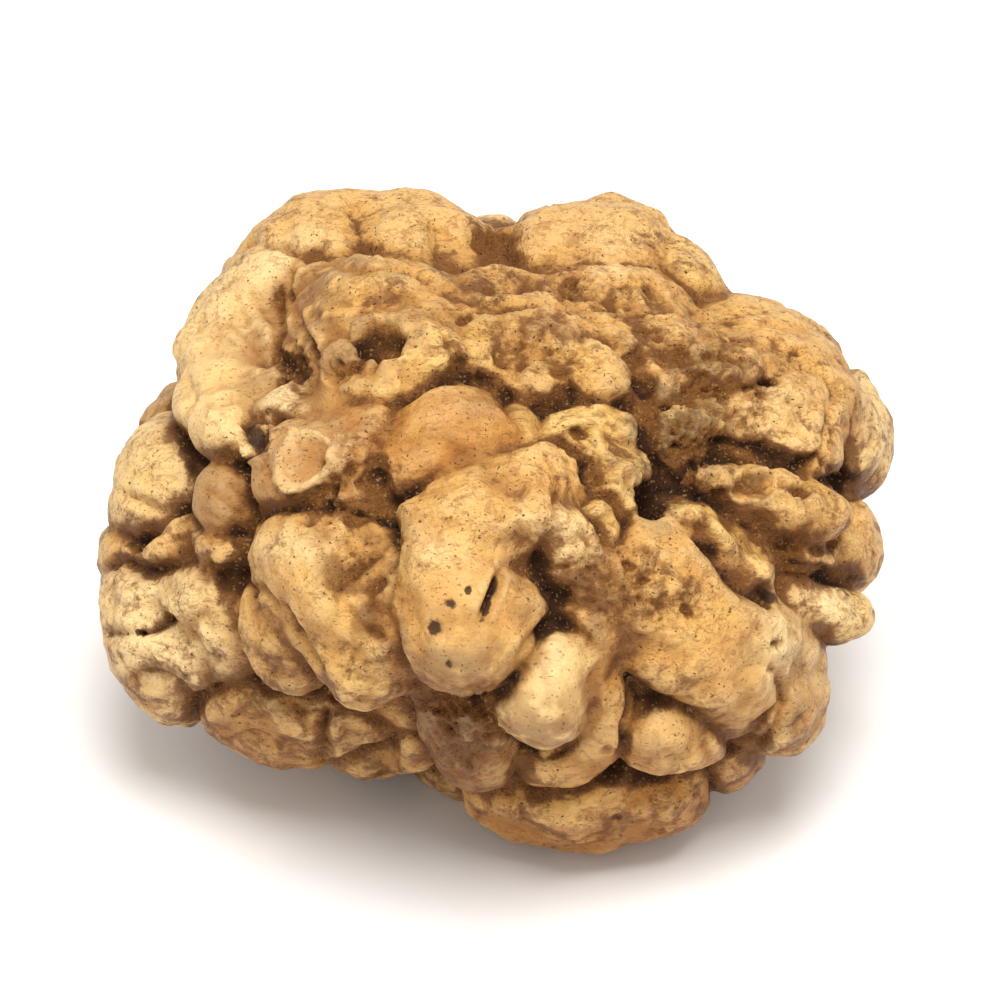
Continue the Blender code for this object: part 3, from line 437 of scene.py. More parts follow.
# Where soil clings and the skin is crumbly
SOILED = [
    (-16.5, 5.5, 4.4, 6.5, -5, 0.6), (-17, 1.5, 7, 2.5, 15, 0.8), (-23.5, 18.8, 3.2, 2.6, 30, 1),
    (-17.8, 18.8, 2.8, 2.6, 0, 0.8), (5, 21, 10, 5.5, 0, 0.45), (-1, 28, 6, 4.5, 0, 0.6),
    (26, 17, 9, 6, -10, 0.9), (22, 10, 6, 7, 0, 1), (13, -7, 5, 6, 30, 0.8),
    (18, -8, 8, 4.5, -35, 0.7), (12, 27, 10, 4, 0, 0.6), (19, 21, 5, 4, 0, 0.8),
    (-15, 33, 6, 3, 0, 0.4), (-4, -24, 5, 6, 0, 0.9), (-30, -20.5, 9, 1.8, -12, 0.5),
    (34, -3.5, 6, 2, -15, 0.5), (12, 7, 5, 6, 0, 0.3), (5, -6.4, 4.5, 1.8, 0, 0.3),
    (-14.5, -7, 5, 3, -40, 0.4), (-33, -4, 4, 3, 0, 0.4), (33, 4, 9, 3, 0, 0.3),
]

# Where the skin is knobbly
LUMPY = [
    (4, 20, 11, 5, 0, 0.8), (26, 18, 9, 6, -10, 0.8), (22, 10, 5, 6, 0, 0.9), (12, 27, 10, 4, 0, 1),
    (-16.5, 5.5, 4.2, 6, -5, 0.8), (17, -5, 6, 5, -35, 0.6), (11.5, 7, 5, 6.5, -50, 0.9),
    (33, 4, 9, 2.5, -8, 0.5), (-4, -25, 4, 6, 0, 0.35), (13, 33, 10, 5, 0, 0.6),
    (24, 29, 4, 5, 0, 0.5), (-9, 27, 7, 4, 0, 0.5), (34, 12, 7, 5, 0, 0.6),
    (-14, -4, 4, 5, -20, 0.5), (-27, -20, 12, 6, -15, 0.3),
]

# Where the skin is smooth and tight
SMOOTH = [
    (-4, -11, 7, 8, 0, 0.8), (5.5, -19, 7.5, 5.5, 76, 1), (-32, 3, 4, 4.5, 0, 0.5),
    (-22.4, 7, 4.2, 3.6, 68, 0.8), (-15.5, 20, 5, 4.5, 0, 0.6), (-12, -7, 2.2, 4.5, 0, 0.8),
    (-32, 22, 7, 12, -15, 0.75), (-6, 10, 6, 6, 0, 0.5), (-20.4, 14.2, 2.4, 4, 0, 0.7),
    (19.6, -24, 4.5, 5, 0, 0.5), (-22, -7, 7, 6, -45, 0.3), (12, -25, 4, 5, 0, 0.5),
    (30, -16, 8, 8, 0, 0.3),
]

# Dark stains and spots
STAINS = [
    (-28.3, 10, 3, 1.6, -62, 0.8), (-7.3, -12.2, 1.1, 1, 20, 1), (-5.4, -9.3, 1, 0.8, -30, 0.7),
    (-3.3, -7.8, 0.55, 0.6, 0, 0.8), (-5.6, -16.4, 0.6, 0.8, 0, 0.7),
    (-15.8, -20.8, 0.8, 0.7, 0, 0.5), (13, -26.6, 0.9, 0.9, 0, 0.5), (20, -27.5, 1.7, 1.3, 0, 0.4),
    (-1, -9.4, 2.6, 0.4, 68, 1), (18.2, 2.6, 1.6, 2.8, 0, 0.35), (25.2, -3.4, 2, 1, -48, 0.6),
    (31.8, -8.6, 2.4, 1, -28, 0.8), (-42.6, -13, 0.5, 0.5, 0, 1), (-38.4, -11.4, 0.6, 0.4, 60, 1),
    (-46, -5.2, 0.6, 0.5, 0, 0.8), (-43.5, -2.6, 1.1, 0.8, 0, 0.6), (14.5, -35, 0.9, 0.5, 10, 0.6),
    (19.5, -37, 0.9, 0.4, 10, 0.6), (33, -14.5, 1, 0.7, -20, 0.5), (32.3, -17.3, 0.9, 0.7, 0, 0.5),
    (-21, 37.3, 0.8, 0.5, 20, 0.6), (6, 37, 0.9, 0.6, 30, 0.6), (-38.5, -21.5, 1.4, 1, 60, 0.5),
    (0.5, 15.4, 1.2, 0.8, 0, 0.5),
]

PAINTS = {
    "cream": (236, 207, 153), "pale": (226, 190, 130), "straw": (218, 176, 102),
    "ochre": (208, 160, 92), "amber": (186, 128, 58), "tan": (180, 128, 70),
    "toffee": (148, 100, 48), "rust": (160, 102, 54), "brown": (114, 71, 32), "soil": (84, 48, 20),
    "umber": (56, 32, 15), "plum": (100, 64, 42), "blackish": (56, 33, 18), "sand": (206, 166, 108),
}

# Patches of another colour, each laid over the last: (paint, and then an oval)
PATCHES = [
    ("rust", -15.5, 34.5, 3.5, 3.5, 0, 0.8), ("brown", -15, 31.4, 5.5, 2.8, 0, 0.8),
    ("straw", -20, 33.5, 2.5, 2.6, 0, 0.6), ("straw", -11, 34, 3.2, 4.5, -60, 0.6),
    ("brown", -5.5, 31, 3, 5.5, 25, 0.5), ("toffee", -21, 26, 5, 6, 0, 0.8),
    ("brown", -26, 19, 4, 5, 30, 0.6), ("toffee", -15.5, 23, 6, 4.4, -10, 0.6),
    ("straw", -9, 19, 4, 3, 0, 0.7), ("rust", -16, 5, 5.2, 6.5, 0, 0.6),
    ("toffee", -16, -1, 8, 2.6, 10, 0.6), ("brown", -16, -10, 8, 3, -50, 0.75),
    # The plum oval at (4, -4) is plum skin and painted shade under the overhang of the brow
    ("plum", 4, -4, 7, 3.6, -15, 0.45), ("plum", 3.5, -8, 3.4, 3, 0, 0.4),
    ("plum", 5.5, -14, 2.6, 3.4, 60, 0.35), ("plum", 24, 18, 7, 3.5, -20, 0.5),
    ("soil", 22, 11, 6, 7, 0, 0.95), ("plum", 19, 13, 4, 7, 20, 0.5),
    ("cream", 34, 13, 6, 4, 0, 0.4), ("umber", 18.6, 3, 2.6, 4.5, 0, 0.8),
    ("brown", 32, -3.2, 6, 1.8, -20, 0.8), ("toffee", 13, -9, 6, 6, 0, 0.5),
    ("soil", -4, -25, 4, 6, 0, 0.7), ("soil", -29, -19.6, 8, 2, -15, 0.8),
    ("straw", 22, -12, 5, 4, 0, 0.3), ("brown", 20, -27.5, 2.4, 1.6, 0, 0.5),
    ("straw", 7, -34, 8, 3, 0, 0.5), ("cream", -41, -10, 4, 3, 0, 0.5),
    ("brown", -33, -5, 4, 3, 0, 0.6), ("brown", 0.5, 15, 5, 3, 0, 0.6),
    ("brown", 3, 25, 8, 2.6, 0, 0.35), ("tan", 12, 30, 10, 5, 0, 0.3),
    ("cream", -24, -3.5, 5, 2.6, -10, 0.6), ("toffee", -23, 5.6, 6, 6, 0, 0.8),
    ("sand", -22.4, 7.4, 3.2, 2.7, 60, 0.8), ("brown", -17.8, 18.5, 2.8, 2.6, 0, 0.6),
    ("straw", -12, 16, 6, 2.6, 8, 0.4), ("soil", 12, -9, 4, 6, 20, 0.5),
    ("straw", -21, -8, 6, 2.2, -50, 0.6), ("brown", -14, -2.5, 5, 2.2, 10, 0.5),
    # The cream oval at (6, -15) is a painted highlight on the top of the egg
    ("straw", -16, -18, 4, 3, 0, 0.9), ("cream", 6, -15, 4, 2.8, 80, 0.6),
    # The toffee ovals at (5, -24.4) and (-3, -17) are painted shade on the lower sides of the egg
    # and the nose
    ("toffee", 5, -24.4, 6.4, 4.2, 0, 0.75), ("toffee", -3, -17, 8.4, 3.4, 0, 0.7),
    ("cream", -7, -3, 4, 3, 0, 0.4), ("cream", 5, -1.5, 5, 2.6, 0, 0.5),
    ("brown", -12, 24.5, 8, 3.4, 0, 0.5), ("brown", 4, 21, 9, 4, 0, 0.3),
    ("brown", 28, 19.5, 7, 3.4, -10, 0.6), ("brown", -19, -25, 4, 3, 0, 0.5),
    ("brown", -28, -23, 6, 3, 0, 0.4), ("brown", 20, -34, 5, 3, 0, 0.5),
    ("cream", 13, 33.5, 6, 3.4, 0, 0.6), ("cream", -25, 33.4, 4.4, 3.4, 30, 0.8),
    ("cream", -38, -15.5, 7, 4, -18, 0.8), ("cream", -43, -8, 4, 4, 0, 0.6),
    ("cream", 35.4, -14.6, 3.4, 4.4, 0, 0.8), ("amber", 35.5, -22.5, 4, 4, 0, 0.8),
    ("amber", 21, -34, 5, 3, 0, 0.6), ("pale", 38, -9.5, 6, 3.4, -28, 0.7),
    ("brown", -4.4, 8.2, 5, 1.8, -20, 0.5), ("soil", 27, -6, 6, 1.6, -45, 0.9),
    ("toffee", 35.5, -4, 6, 1.6, -22, 0.7), ("pale", 19, -22, 3, 2.4, 0, 0.3),
    ("soil", -4, -24, 5, 6, 0, 0.9), ("toffee", -14, 20.6, 6.2, 5.4, 0, 0.85),
    ("brown", -17.8, 18.8, 2.7, 2.5, 0, 0.2), ("brown", -22.5, 25.5, 4.5, 5.5, 0, 0.5),
    ("toffee", -27.5, 22, 2.5, 7, -10, 0.5), ("cream", -22.4, 7.4, 4.1, 3.5, 60, 0.9),
    # The brown ovals at (5, -24.8) and (-3.4, -17.4) are painted shade on the lower sides of the
    # egg and the nose
    ("tan", -22.4, 7.4, 3, 2.5, 60, 0.9), ("brown", 5, -24.8, 6.6, 3.6, 0, 0.95),
    ("brown", -3.4, -17.4, 8.4, 3.2, 0, 0.85), ("toffee", -3, -12, 7, 4, 0, 0.5),
    ("brown", 35.4, -22.5, 4, 4.4, 0, 0.7), ("soil", -16, -9, 7, 2.6, -50, 0.6),
    ("umber", 21, 10.6, 5.4, 7, 0, 0.85), ("soil", 12.4, -8.4, 4.6, 5, 20, 0.5),
    ("brown", 20, -27, 3, 2.2, 0, 0.6), ("straw", 33, 4, 9.5, 3.8, -8, 0.8),
    ("soil", 30.4, 4.6, 3.2, 2.1, 12, 0.9), ("brown", 36, 3.4, 3, 1, -14, 0.7),
    ("straw", -3.4, 20, 4.6, 3.6, 0, 0.9), ("straw", 9, 19, 4, 3, 0, 0.8),
    ("cream", 39, -9.6, 5, 3, -28, 0.9), ("ochre", 6, -29.6, 7, 2.4, 0, 0.8),
    ("straw", 12.4, -24, 2, 6, -15, 0.6), ("cream", -40.4, -14.6, 6, 5, -18, 0.8),
    ("pale", -33, 34, 5, 3, 40, 0.6), ("cream", -25.6, 35, 5.4, 3.4, 30, 0.9),
    ("cream", 34, -15.6, 4.4, 5, 0, 0.8), ("pale", 5.4, -4.4, 5, 3, -10, 0.5),
]


def core_out(across, up):
    """How far out of the face plane the core's skin lies."""
    start = FACE_CENTRE + across * ACROSS + up * UP_FACE - CORE_CENTRE
    start = Vector(p / h for p, h in zip(start, CORE_HALF))
    step = Vector(p / h for p, h in zip(OUT_OF_FACE, CORE_HALF))
    half_b = start.dot(step) / step.length_squared
    inside = half_b**2 - (start.length_squared - 1) / step.length_squared
    return -half_b + math.sqrt(max(inside, 0.0))


def lobe_frame(centre, axes, roll):
    turn = Matrix.Rotation(math.radians(roll), 3, "Z")
    rotation = Matrix(axes).transposed() @ turn
    return Matrix.Translation(centre) @ rotation.to_4x4()


def face_frame(across, up, lift, roll):
    across = FACE_TIGHTNESS * across
    up = FACE_TIGHTNESS * up
    out = core_out(across, up) + lift
    centre = FACE_CENTRE + across * ACROSS + up * UP_FACE + out * OUT_OF_FACE
    return lobe_frame(centre, (ACROSS, UP_FACE, OUT_OF_FACE), roll)


def face_families():
    """Each family as (blend, [(frame, half sizes)])."""
    families = []
    for _, blend, lobes in FACE_LOBES.values():
        rows = []
        for across, up, lift, *halves, roll in lobes.values():
            rows.append((face_frame(across, up, lift, roll), halves))
        families.append((blend, rows))
    return families


def back_families():
    """Rounded lobes of about one size over all that the face leaves bare, each its own family."""
    pick = random.Random(BACK_SEED)
    families = []
    for step in range(BACK_SPIRAL):
        height = 1 - 2 * (step + 0.5) / BACK_SPIRAL
        ring = math.sqrt(1 - height * height)
        turn = step * GOLDEN_ANGLE
        direction = Vector((ring * math.cos(turn), ring * math.sin(turn), height))
        size = pick.uniform(*BACK_LOBE)
        push = pick.uniform(*BACK_PUSH)
        roll = pick.uniform(0, 180)
        stretch = pick.uniform(*BACK_STRETCH)
        outward = Vector(d / h for d, h in zip(direction, CORE_HALF)).normalized()
        if outward.dot(OUT_OF_FACE) > BACK_FACING:
            continue
        on_core = Vector(d * h for d, h in zip(direction, CORE_HALF))
        side = outward.orthogonal().normalized()
        centre = CORE_CENTRE + on_core + outward * (push - 1)
        lobe = lobe_frame(centre, (side, outward.cross(side), outward), roll)
        halves = [size * stretch, size / stretch, BACK_LOBE_DEPTH]
        families.append((BACK_BLEND, [(lobe, halves)]))
    return families


def all_families():
    core = (CORE_BLEND, [(Matrix.Translation(CORE_CENTRE), list(CORE_HALF))])
    return [core] + face_families() + back_families()


def add_lobe(placed, halves):
    bpy.ops.mesh.primitive_ico_sphere_add(subdivisions=3, radius=1.0)
    lobe = bpy.context.object
    full = [half + LOBE_GROWTH + START_GAP for half in halves]
    lobe.data.transform(placed @ Matrix.Diagonal((*full, 1.0)))
    return lobe


def apply_modifier(obj, kind, **settings):
    modifier = obj.modifiers.new(kind.title(), kind)
    for name, value in settings.items():
        setattr(modifier, name, value)
    bpy.context.view_layer.objects.active = obj
    bpy.ops.object.modifier_apply(modifier=modifier.name)


def join_lobes(families):
    """One closed skin round all the lobes."""
    lobes = [add_lobe(*row) for _, rows in families for row in rows]
    for lobe in lobes:
        lobe.select_set(True)
    bpy.context.view_layer.objects.active = lobes[0]
    bpy.ops.object.join()
    body = bpy.context.object
    remesh(body, FIRST_VOXEL)
    return body


def remesh(body, voxel):
    apply_modifier(body, "REMESH", mode="VOXEL", voxel_size=voxel)
    keep_outer_skin(body)


def island_from(seed, left):
    island = [seed]
    left.discard(seed)
    for vert in island:
        for edge in vert.link_edges:
            other = edge.other_vert(vert)
            if other in left:
                left.discard(other)
                island.append(other)
    return island


def keep_outer_skin(body):
    """Deletes the skins of any hollows sealed inside."""
    mesh = bmesh.new()
    mesh.from_mesh(body.data)
    left = set(mesh.verts)
    islands = [island_from(seed, left) for seed in mesh.verts if seed in left]
    islands.sort(key=len)
    inner = [vert for island in islands[:-1] for vert in island]
    if inner:
        bmesh.ops.delete(mesh, geom=inner, context="VERTS")
        mesh.to_mesh(body.data)
    mesh.free()


def points_of(body):
    flat = np.empty(len(body.data.vertices) * 3)
    body.data.vertices.foreach_get("co", flat)
    return flat.reshape(-1, 3)


def move_points(body, points):
    body.data.vertices.foreach_set("co", points.ravel())
    body.data.update()


def edges_of(body):
    flat = np.empty(len(body.data.edges) * 2, int)
    body.data.edges.foreach_get("vertices", flat)
    return flat.reshape(-1, 2)


def tree_of(body):
    return BVHTree.FromObject(body, bpy.context.evaluated_depsgraph_get())


def neighbour_mean(values, edges):
    """The mean of each point's neighbours, for a number or a vector on each point."""
    first = edges[:, 0]
    second = edges[:, 1]
    count = len(values)
    columns = values.reshape(count, -1)
    total = np.zeros(columns.shape)
    for axis in range(columns.shape[1]):
        total[:, axis] += np.bincount(first, columns[second, axis], count)
        total[:, axis] += np.bincount(second, columns[first, axis], count)
    neighbours = np.bincount(edges.ravel(), minlength=count)
    return (total / neighbours[:, None]).reshape(values.shape)


def relax(values, edges, strength=0.5, rounds=1):
    for step in range(rounds):
        values = values + strength * (neighbour_mean(values, edges) - values)
    return values


def outward_ways(body, edges, rounds):
    """Which way is out at each point, read from a smoothed copy of the skin."""
    points = points_of(body)
    move_points(body, relax(points, edges, 0.6, rounds))
    flat = np.empty(len(points) * 3)
    body.data.vertices.foreach_get("normal", flat)
    move_points(body, points)
    return flat.reshape(-1, 3)


def wander(points):
    """A slow drift of the points, which makes the lobes irregular."""
    noise.seed_set(WANDER_SEED)
    drift = []
    for point in map(Vector, points):
        big = noise.noise_vector(point / WANDER_SIZE)
        small = noise.noise_vector(point / SMALL_WANDER_SIZE)
        drift.append(WANDER * (big + SMALL_WANDER * small))
    return np.array(drift)


def face_place(points):
    """Where the points lie across the face and up it, and 1 in front of the middle, 0 behind."""
    offset = points - np.array(FACE_CENTRE)
    in_front = np.clip((offset @ np.array(OUT_OF_FACE) + 4) / 8, 0, 1)
    return offset @ np.array(ACROSS), offset @ np.array(UP_FACE), in_front


def lobe_distance(points, placed, halves):
    """About how far the points lie outside a lobe, and the way out."""
    rotation = np.array(placed.to_3x3())
    half = np.array(halves) + LOBE_GROWTH
    local = (points - np.array(placed.translation)) @ rotation
    reach = np.linalg.norm(local / half, axis=1)
    slope = local / half**2
    steepness = np.linalg.norm(slope, axis=1) + 1e-9
    return reach * (reach - 1) / steepness, (slope / steepness[:, None]) @ rotation.T


def family_distance(points, blend, rows):
    """How far outside a family the points lie, its lobes melted together, and the way out."""
    weights = np.zeros(len(points))
    ways = np.zeros((len(points), 3))
    for placed, halves in rows:
        near_enough = max(halves) + LOBE_GROWTH + LOBE_REACH
        offset = points - np.array(placed.translation)
        near = np.where((offset**2).sum(axis=1) < near_enough**2)[0]
        distance, way = lobe_distance(points[near], placed, halves)
        weight = np.exp(-np.clip(distance, -9 * blend, 40) / blend)
        weights[near] += weight
        ways[near] += weight[:, None] * way
    reached = weights > 1e-12
    distance = np.full(len(points), FAR)
    distance[reached] = -blend * np.log(weights[reached])
    ways[reached] /= weights[reached, None]
    return distance, ways


def flow_together(points):
    """How far families run into each other here: 0 where a sharp crease parts them."""
    across, up, in_front = face_place(points)
    total = np.zeros(len(points))
    for u, v, radius, added in MERGES:
        total += added * in_front * np.exp(-((across - u) ** 2 + (up - v) ** 2) / radius**2)
    return total


def crease_blend(points):
    """How softly families meet here: sharply on the face, and in places softly behind."""
    in_front = face_place(points)[2]
    slack = np.clip(2.2 * noise_at(points, 8.0, 9) - 0.2, 0, 1)
    return CREASE_BLEND + (0.2 * in_front + 1.4 * (1 - in_front)) * slack + flow_together(points)


def body_distance(points, families):
    """How far outside the body the points lie, the way out, their family, the gap to the next."""
    found = [family_distance(points, *family) for family in families]
    distances = np.array([distance for distance, _ in found])
    ways = np.array([way for _, way in found])
    blend = crease_blend(points)
    nearest = distances.min(axis=0)
    owner = distances.argmin(axis=0)
    weights = np.exp(-np.clip((distances - nearest) / blend, 0, 60))
    weights[distances > FAR / 2] = 0
    total = weights.sum(axis=0)
    way = np.einsum("fn,fnk->nk", weights, ways) / total[:, None]
    distances[owner, np.arange(len(points))] = FAR
    gap = distances.min(axis=0) - nearest
    return nearest - blend * np.log(total), way, owner, gap


def nearest_family(points, families):
    """Each point's family, and how much farther off the next family is."""
    return body_distance(points + wander(points), families)[2:]


def settle_on_lobes(body, families):
    """Moves the skin onto the lobes, in small steps with its points kept even."""
    points = points_of(body)
    edges = edges_of(body)
    drift = None
    for step in range(ROUNDS):
        if step % 3 == 0:
            drift = wander(points)
        distance, way, *_ = body_distance(points + drift, families)
        length = (way**2).sum(axis=1) + 0.05
        move = 0.9 * np.clip(distance, -LONGEST_STEP, LONGEST_STEP) / length
        points = points - move[:, None] * way
        if step < ROUNDS - 1:
            points = relax(points, edges)
    move_points(body, points)


def on_face(tree, across, up):
    """The skin's point in front at this place of the face, or None beside the body."""
    start = FACE_CENTRE + float(across) * ACROSS + float(up) * UP_FACE + 120.0 * OUT_OF_FACE
    return tree.ray_cast(start, -OUT_OF_FACE)[0]


def smooth_line(corners):
    """Points LINE_SPACING apart on a smooth curve through the corners."""
    rows = [np.array(corner, float) for corner in corners]
    rows = [2 * rows[0] - rows[1]] + rows + [2 * rows[-1] - rows[-2]]
    line = []
    for a, b, c, d in zip(rows, rows[1:], rows[2:], rows[3:]):
        steps = max(2, int(np.linalg.norm(c - b) / LINE_SPACING))
        for t in np.arange(steps) / steps:
            bend = (2 * a - 5 * b + 4 * c - d) * t**2 + (3 * b - a - 3 * c + d) * t**3
            line.append(0.5 * (2 * b + (c - a) * t + bend))
    return np.array(line + [rows[-2]])


def nearest_on_line(points, line):
    """How far each point is from the line, and which of the line's points is nearest."""
    best = np.full(len(points), np.inf)
    at = np.zeros(len(points), int)
    for first in range(0, len(line), 20):
        offset = points[:, None, :] - line[None, first : first + 20]
        squared = (offset**2).sum(axis=2)
        place = squared.argmin(axis=1)
        value = squared[np.arange(len(points)), place]
        closer = value < best
        best[closer] = value[closer]
        at[closer] = place[closer] + first
    return np.sqrt(best), at


def press_creases(points, tree):
    """How deep creases press each point in, how far it puffs up beside them, and how dark it is
    painted along them, as soil and painted shade.
    """
    cut = np.zeros(len(points))
    puff = np.zeros(len(points))
    line_soil_and_shade = np.zeros(len(points))
    for depth, width, *corners in CREASES.values():
        hits = [on_face(tree, u, v) for u, v in smooth_line(corners)]
        kept = np.array([hit is not None for hit in hits])
        if not kept.any():
            continue
        line = np.array([hit[:] for hit in hits if hit is not None])
        from_end = np.minimum(np.arange(len(hits)), len(hits) - 1 - np.arange(len(hits)))[kept]
        ends = np.clip(from_end * 0.2, 0, 1)
        fade = 0.25 + 0.75 * ends**2 * (3 - 2 * ends)
        reach = 5 * width
        low = line.min(axis=0) - reach
        high = line.max(axis=0) + reach
        near = np.where(((points > low) & (points < high)).all(axis=1))[0]
        distance, at = nearest_on_line(points[near], line)
        weight = fade[at]
        pressed = depth * weight * np.exp(-distance / width) * (distance < reach)
        beside = (distance - 2.4 * width) / (1.1 * width)
        swell = CREASE_SWELL * depth * weight * np.exp(-(beside**2))
        # Darkening along the crease, as soil and painted shade in it
        dark = weight * min(1.0, 0.35 + 0.35 * depth) * np.exp(-distance / (0.35 + 0.45 * width))
        cut[near] = np.maximum(cut[near], pressed)
        puff[near] = np.maximum(puff[near], swell)
        line_soil_and_shade[near] = np.maximum(line_soil_and_shade[near], dark)
    return cut, puff, line_soil_and_shade


def oval_reach(across, up, oval):
    """1 on the oval's edge, 0 in its middle."""
    u, v, half_length, half_width, roll = oval
    turn = math.radians(roll)
    x = across - u
    y = up - v
    along = (x * math.cos(turn) + y * math.sin(turn)) / half_length
    aside = (y * math.cos(turn) - x * math.sin(turn)) / half_width
    return np.sqrt(along**2 + aside**2)


def press_dents(points, outward, tree):
    """Pits and scars. The skin is flattened first where a scar has a raised rim."""
    move = np.zeros(len(points))
    for u, v, half_length, half_width, roll, depth, rim in DENTS.values():
        hit = on_face(tree, u, v)
        if hit is None:
            continue
        offset = points - np.array(hit)
        size = max(half_length, half_width)
        near = np.where((offset**2).sum(axis=1) < (3 * size + 1) ** 2)[0]
        torn = ragged(points[near], 0.35 * min(size, 2.0)) - np.array(hit)
        across = torn @ np.array(ACROSS)
        up = torn @ np.array(UP_FACE)
        out = torn @ np.array(OUT_OF_FACE) / (2.2 * size)
        reach = np.sqrt(oval_reach(across, up, (0, 0, half_length, half_width, roll)) ** 2 + out**2)
        move[near] -= depth * np.clip(1 - reach**4, 0, 1)
        move[near] += rim * np.exp(-(((reach - 1.12) * size / RIM_WIDTH) ** 2))
        if rim >= SCAR_RIM:
            normal = outward[near][reach < 1].mean(axis=0)
            height = offset[near] @ (normal / np.linalg.norm(normal))
            level = height[(reach > 0.6) & (reach < 1.2)].mean()
            move[near] += np.clip(4.2 - 3.2 * reach, 0, 1) * np.clip(level - height, -2, 2)
    return move


def ragged(points, reach):
    """Points moved about a little, which gives what is laid out by them a torn edge."""
    noise.seed_set(WANDER_SEED)
    drift = []
    for point in map(Vector, points):
        wide = noise.noise_vector(point / (3.0 * reach))
        drift.append(reach * (wide + 0.5 * noise.noise_vector(point / reach)))
    return points + np.array(drift)


def ovals_amount(points, ovals, softness=3):
    """The most that any of these soft ovals gives each point, by its place on the face."""
    across, up, in_front = face_place(points)
    most = np.zeros(len(points))
    for *oval, amount in ovals:
        reach = oval_reach(across, up, oval)
        most = np.maximum(most, amount * np.exp(-(reach**softness)))
    return most * in_front


def noise_at(points, size, seed):
    shift = Vector((17.3, 5.1, 9.7)) * seed
    return np.array([noise.noise(Vector(point) / size + shift) for point in points])


def lumps_at(points, size):
    """Small rounded lumps packed together: 0.5 on top, down to -0.6 in the gaps."""
    heights = []
    for point in map(Vector, ragged(points, 1.1)):
        near = noise.voronoi(point / size)[0]
        heights.append(min(1.0, 2.2 * (near[1] - near[0])) - 0.6 * near[0])
    return np.array(heights) - 0.4


def wrinkles(points):
    """Thin wandering grooves: 1 in the bottom of a groove."""
    shaken = ragged(points, 0.9)
    strength = np.clip(0.5 + 2.2 * noise_at(points, 9.0, 6), 0, 1)
    wide = np.exp(-np.abs(noise_at(shaken, 6.0, 4)) / 0.08)
    narrow = np.exp(-np.abs(noise_at(shaken, 3.2, 5)) / 0.12)
    return strength * wide + 0.6 * (1 - 0.7 * strength) * narrow


def crumble(points, outward):
    """Gives the skin its grain, slight all over and crumbly where soil clings, and its wrinkles."""
    soiled = ovals_amount(points, SOILED)
    lumpy = ovals_amount(points, LUMPY)
    tight = 1 - 0.85 * ovals_amount(points, SMOOTH)
    broad = noise_at(points, 5.5, 7)
    big = noise_at(points, 3.2, 1)
    middle = noise_at(points, 1.7, 2)
    fine = noise_at(points, 0.95, 3)
    crumbs = 0.8 * (0.45 - 2 * np.abs(middle)) + 0.5 * (0.45 - 2 * np.abs(fine)) + 0.25 * big
    lumps = 0.4 * lumps_at(points, 3.8) + 1.3 * noise_at(points, 4.4, 11)
    lumps -= 1.2 * np.abs(noise_at(points, 2.3, 12))
    skin = 0.5 * broad + 0.4 * big + 0.12 * middle
    grooves = wrinkles(points)
    move = tight * (skin - 0.36 * grooves) + soiled * crumbs + lumpy * lumps
    return points + move[:, None] * outward, tight * grooves


def store(body, name, values):
    kind = "FLOAT" if values.ndim == 1 else "FLOAT_COLOR"
    layer = body.data.attributes.new(name, kind, "POINT")
    field = "value" if values.ndim == 1 else "color"
    layer.data.foreach_set(field, np.ascontiguousarray(values, np.float32).ravel())


def thin_out(body):
    """Fewer triangles, with more of them kept on the showing face."""
    in_front = face_place(points_of(body))[2]
    group = body.vertex_groups.new(name="thin")
    for level in range(5):
        chosen = np.where(np.round(4 * in_front) == level)[0]
        group.add(chosen.tolist(), 1 - 0.15 * level, "REPLACE")
    triangles = sum(len(face.vertices) - 2 for face in body.data.polygons)
    settings = {"ratio": TRIANGLES / triangles, "use_collapse_triangulate": True}
    apply_modifier(body, "DECIMATE", vertex_group="thin", vertex_group_factor=0.6, **settings)
    body.vertex_groups.clear()


def openness(body, edges):
    """1 where the sky is in view from a point of the skin, 0 at the bottom of a fold."""
    points = points_of(body)
    outward = outward_ways(body, edges, 1)
    tree = tree_of(body)
    rays = []
    for step in range(OPEN_RAYS):
        height = math.sqrt((step + 0.5) / OPEN_RAYS)
        ring = math.sqrt(1 - height * height)
        turn = step * GOLDEN_ANGLE
        rays.append((ring * math.cos(turn), ring * math.sin(turn), height))
    seen = np.zeros(len(points))
    for index, (point, way) in enumerate(zip(map(Vector, points), map(Vector, outward))):
        side = way.orthogonal().normalized()
        other = way.cross(side)
        start = point + 0.15 * way
        for x, y, z in rays:
            if tree.ray_cast(start, x * side + y * other + z * way, OPEN_REACH)[0] is None:
                seen[index] += 1
    return relax(seen / OPEN_RAYS, edges, 0.5, 2)


def bulge(body, edges):
    """How far each point stands out of the smoothed skin."""
    points = points_of(body)
    smooth = relax(points, edges, 0.6, 60)
    outward = outward_ways(body, edges, 6)
    return ((points - smooth) * outward).sum(axis=1)


def linear(colour):
    """A paint mixed as 0 to 255 parts of red, green and blue, as light."""
    part = np.array(colour) / 255
    return np.where(part <= 0.04045, part / 12.92, ((part + 0.055) / 1.055) ** 2.4)


def skin_tints(body, owner, edges):
    """The ground colour of the skin: one for each family, then the patches that lie over them."""
    names = ["ochre"] + [paint for paint, *_ in FACE_LOBES.values()]
    pick = random.Random(BACK_PAINT_SEED)
    while len(names) <= owner.max():
        names.append(pick.choice(BACK_PAINTS))
    paints = np.array([linear(PAINTS[name]) for name in names])
    tint = relax(paints[owner], edges, 0.5, 4)
    points = points_of(body)
    across, up, in_front = face_place(ragged(points, 1.4))
    mottle = np.clip(0.8 + 1.5 * noise_at(points, 2.8, 13) + 1.1 * noise_at(points, 1.2, 14), 0, 1)
    for name, *oval, amount in PATCHES:
        reach = oval_reach(across, up, oval)
        weight = amount * np.exp(-(reach**3)) * in_front
        if sum(PAINTS[name]) < DARK_PAINT:
            weight = weight * mottle
        tint = tint + weight[:, None] * (linear(PAINTS[name]) - tint)
    return np.hstack([tint, np.ones((len(tint), 1))])


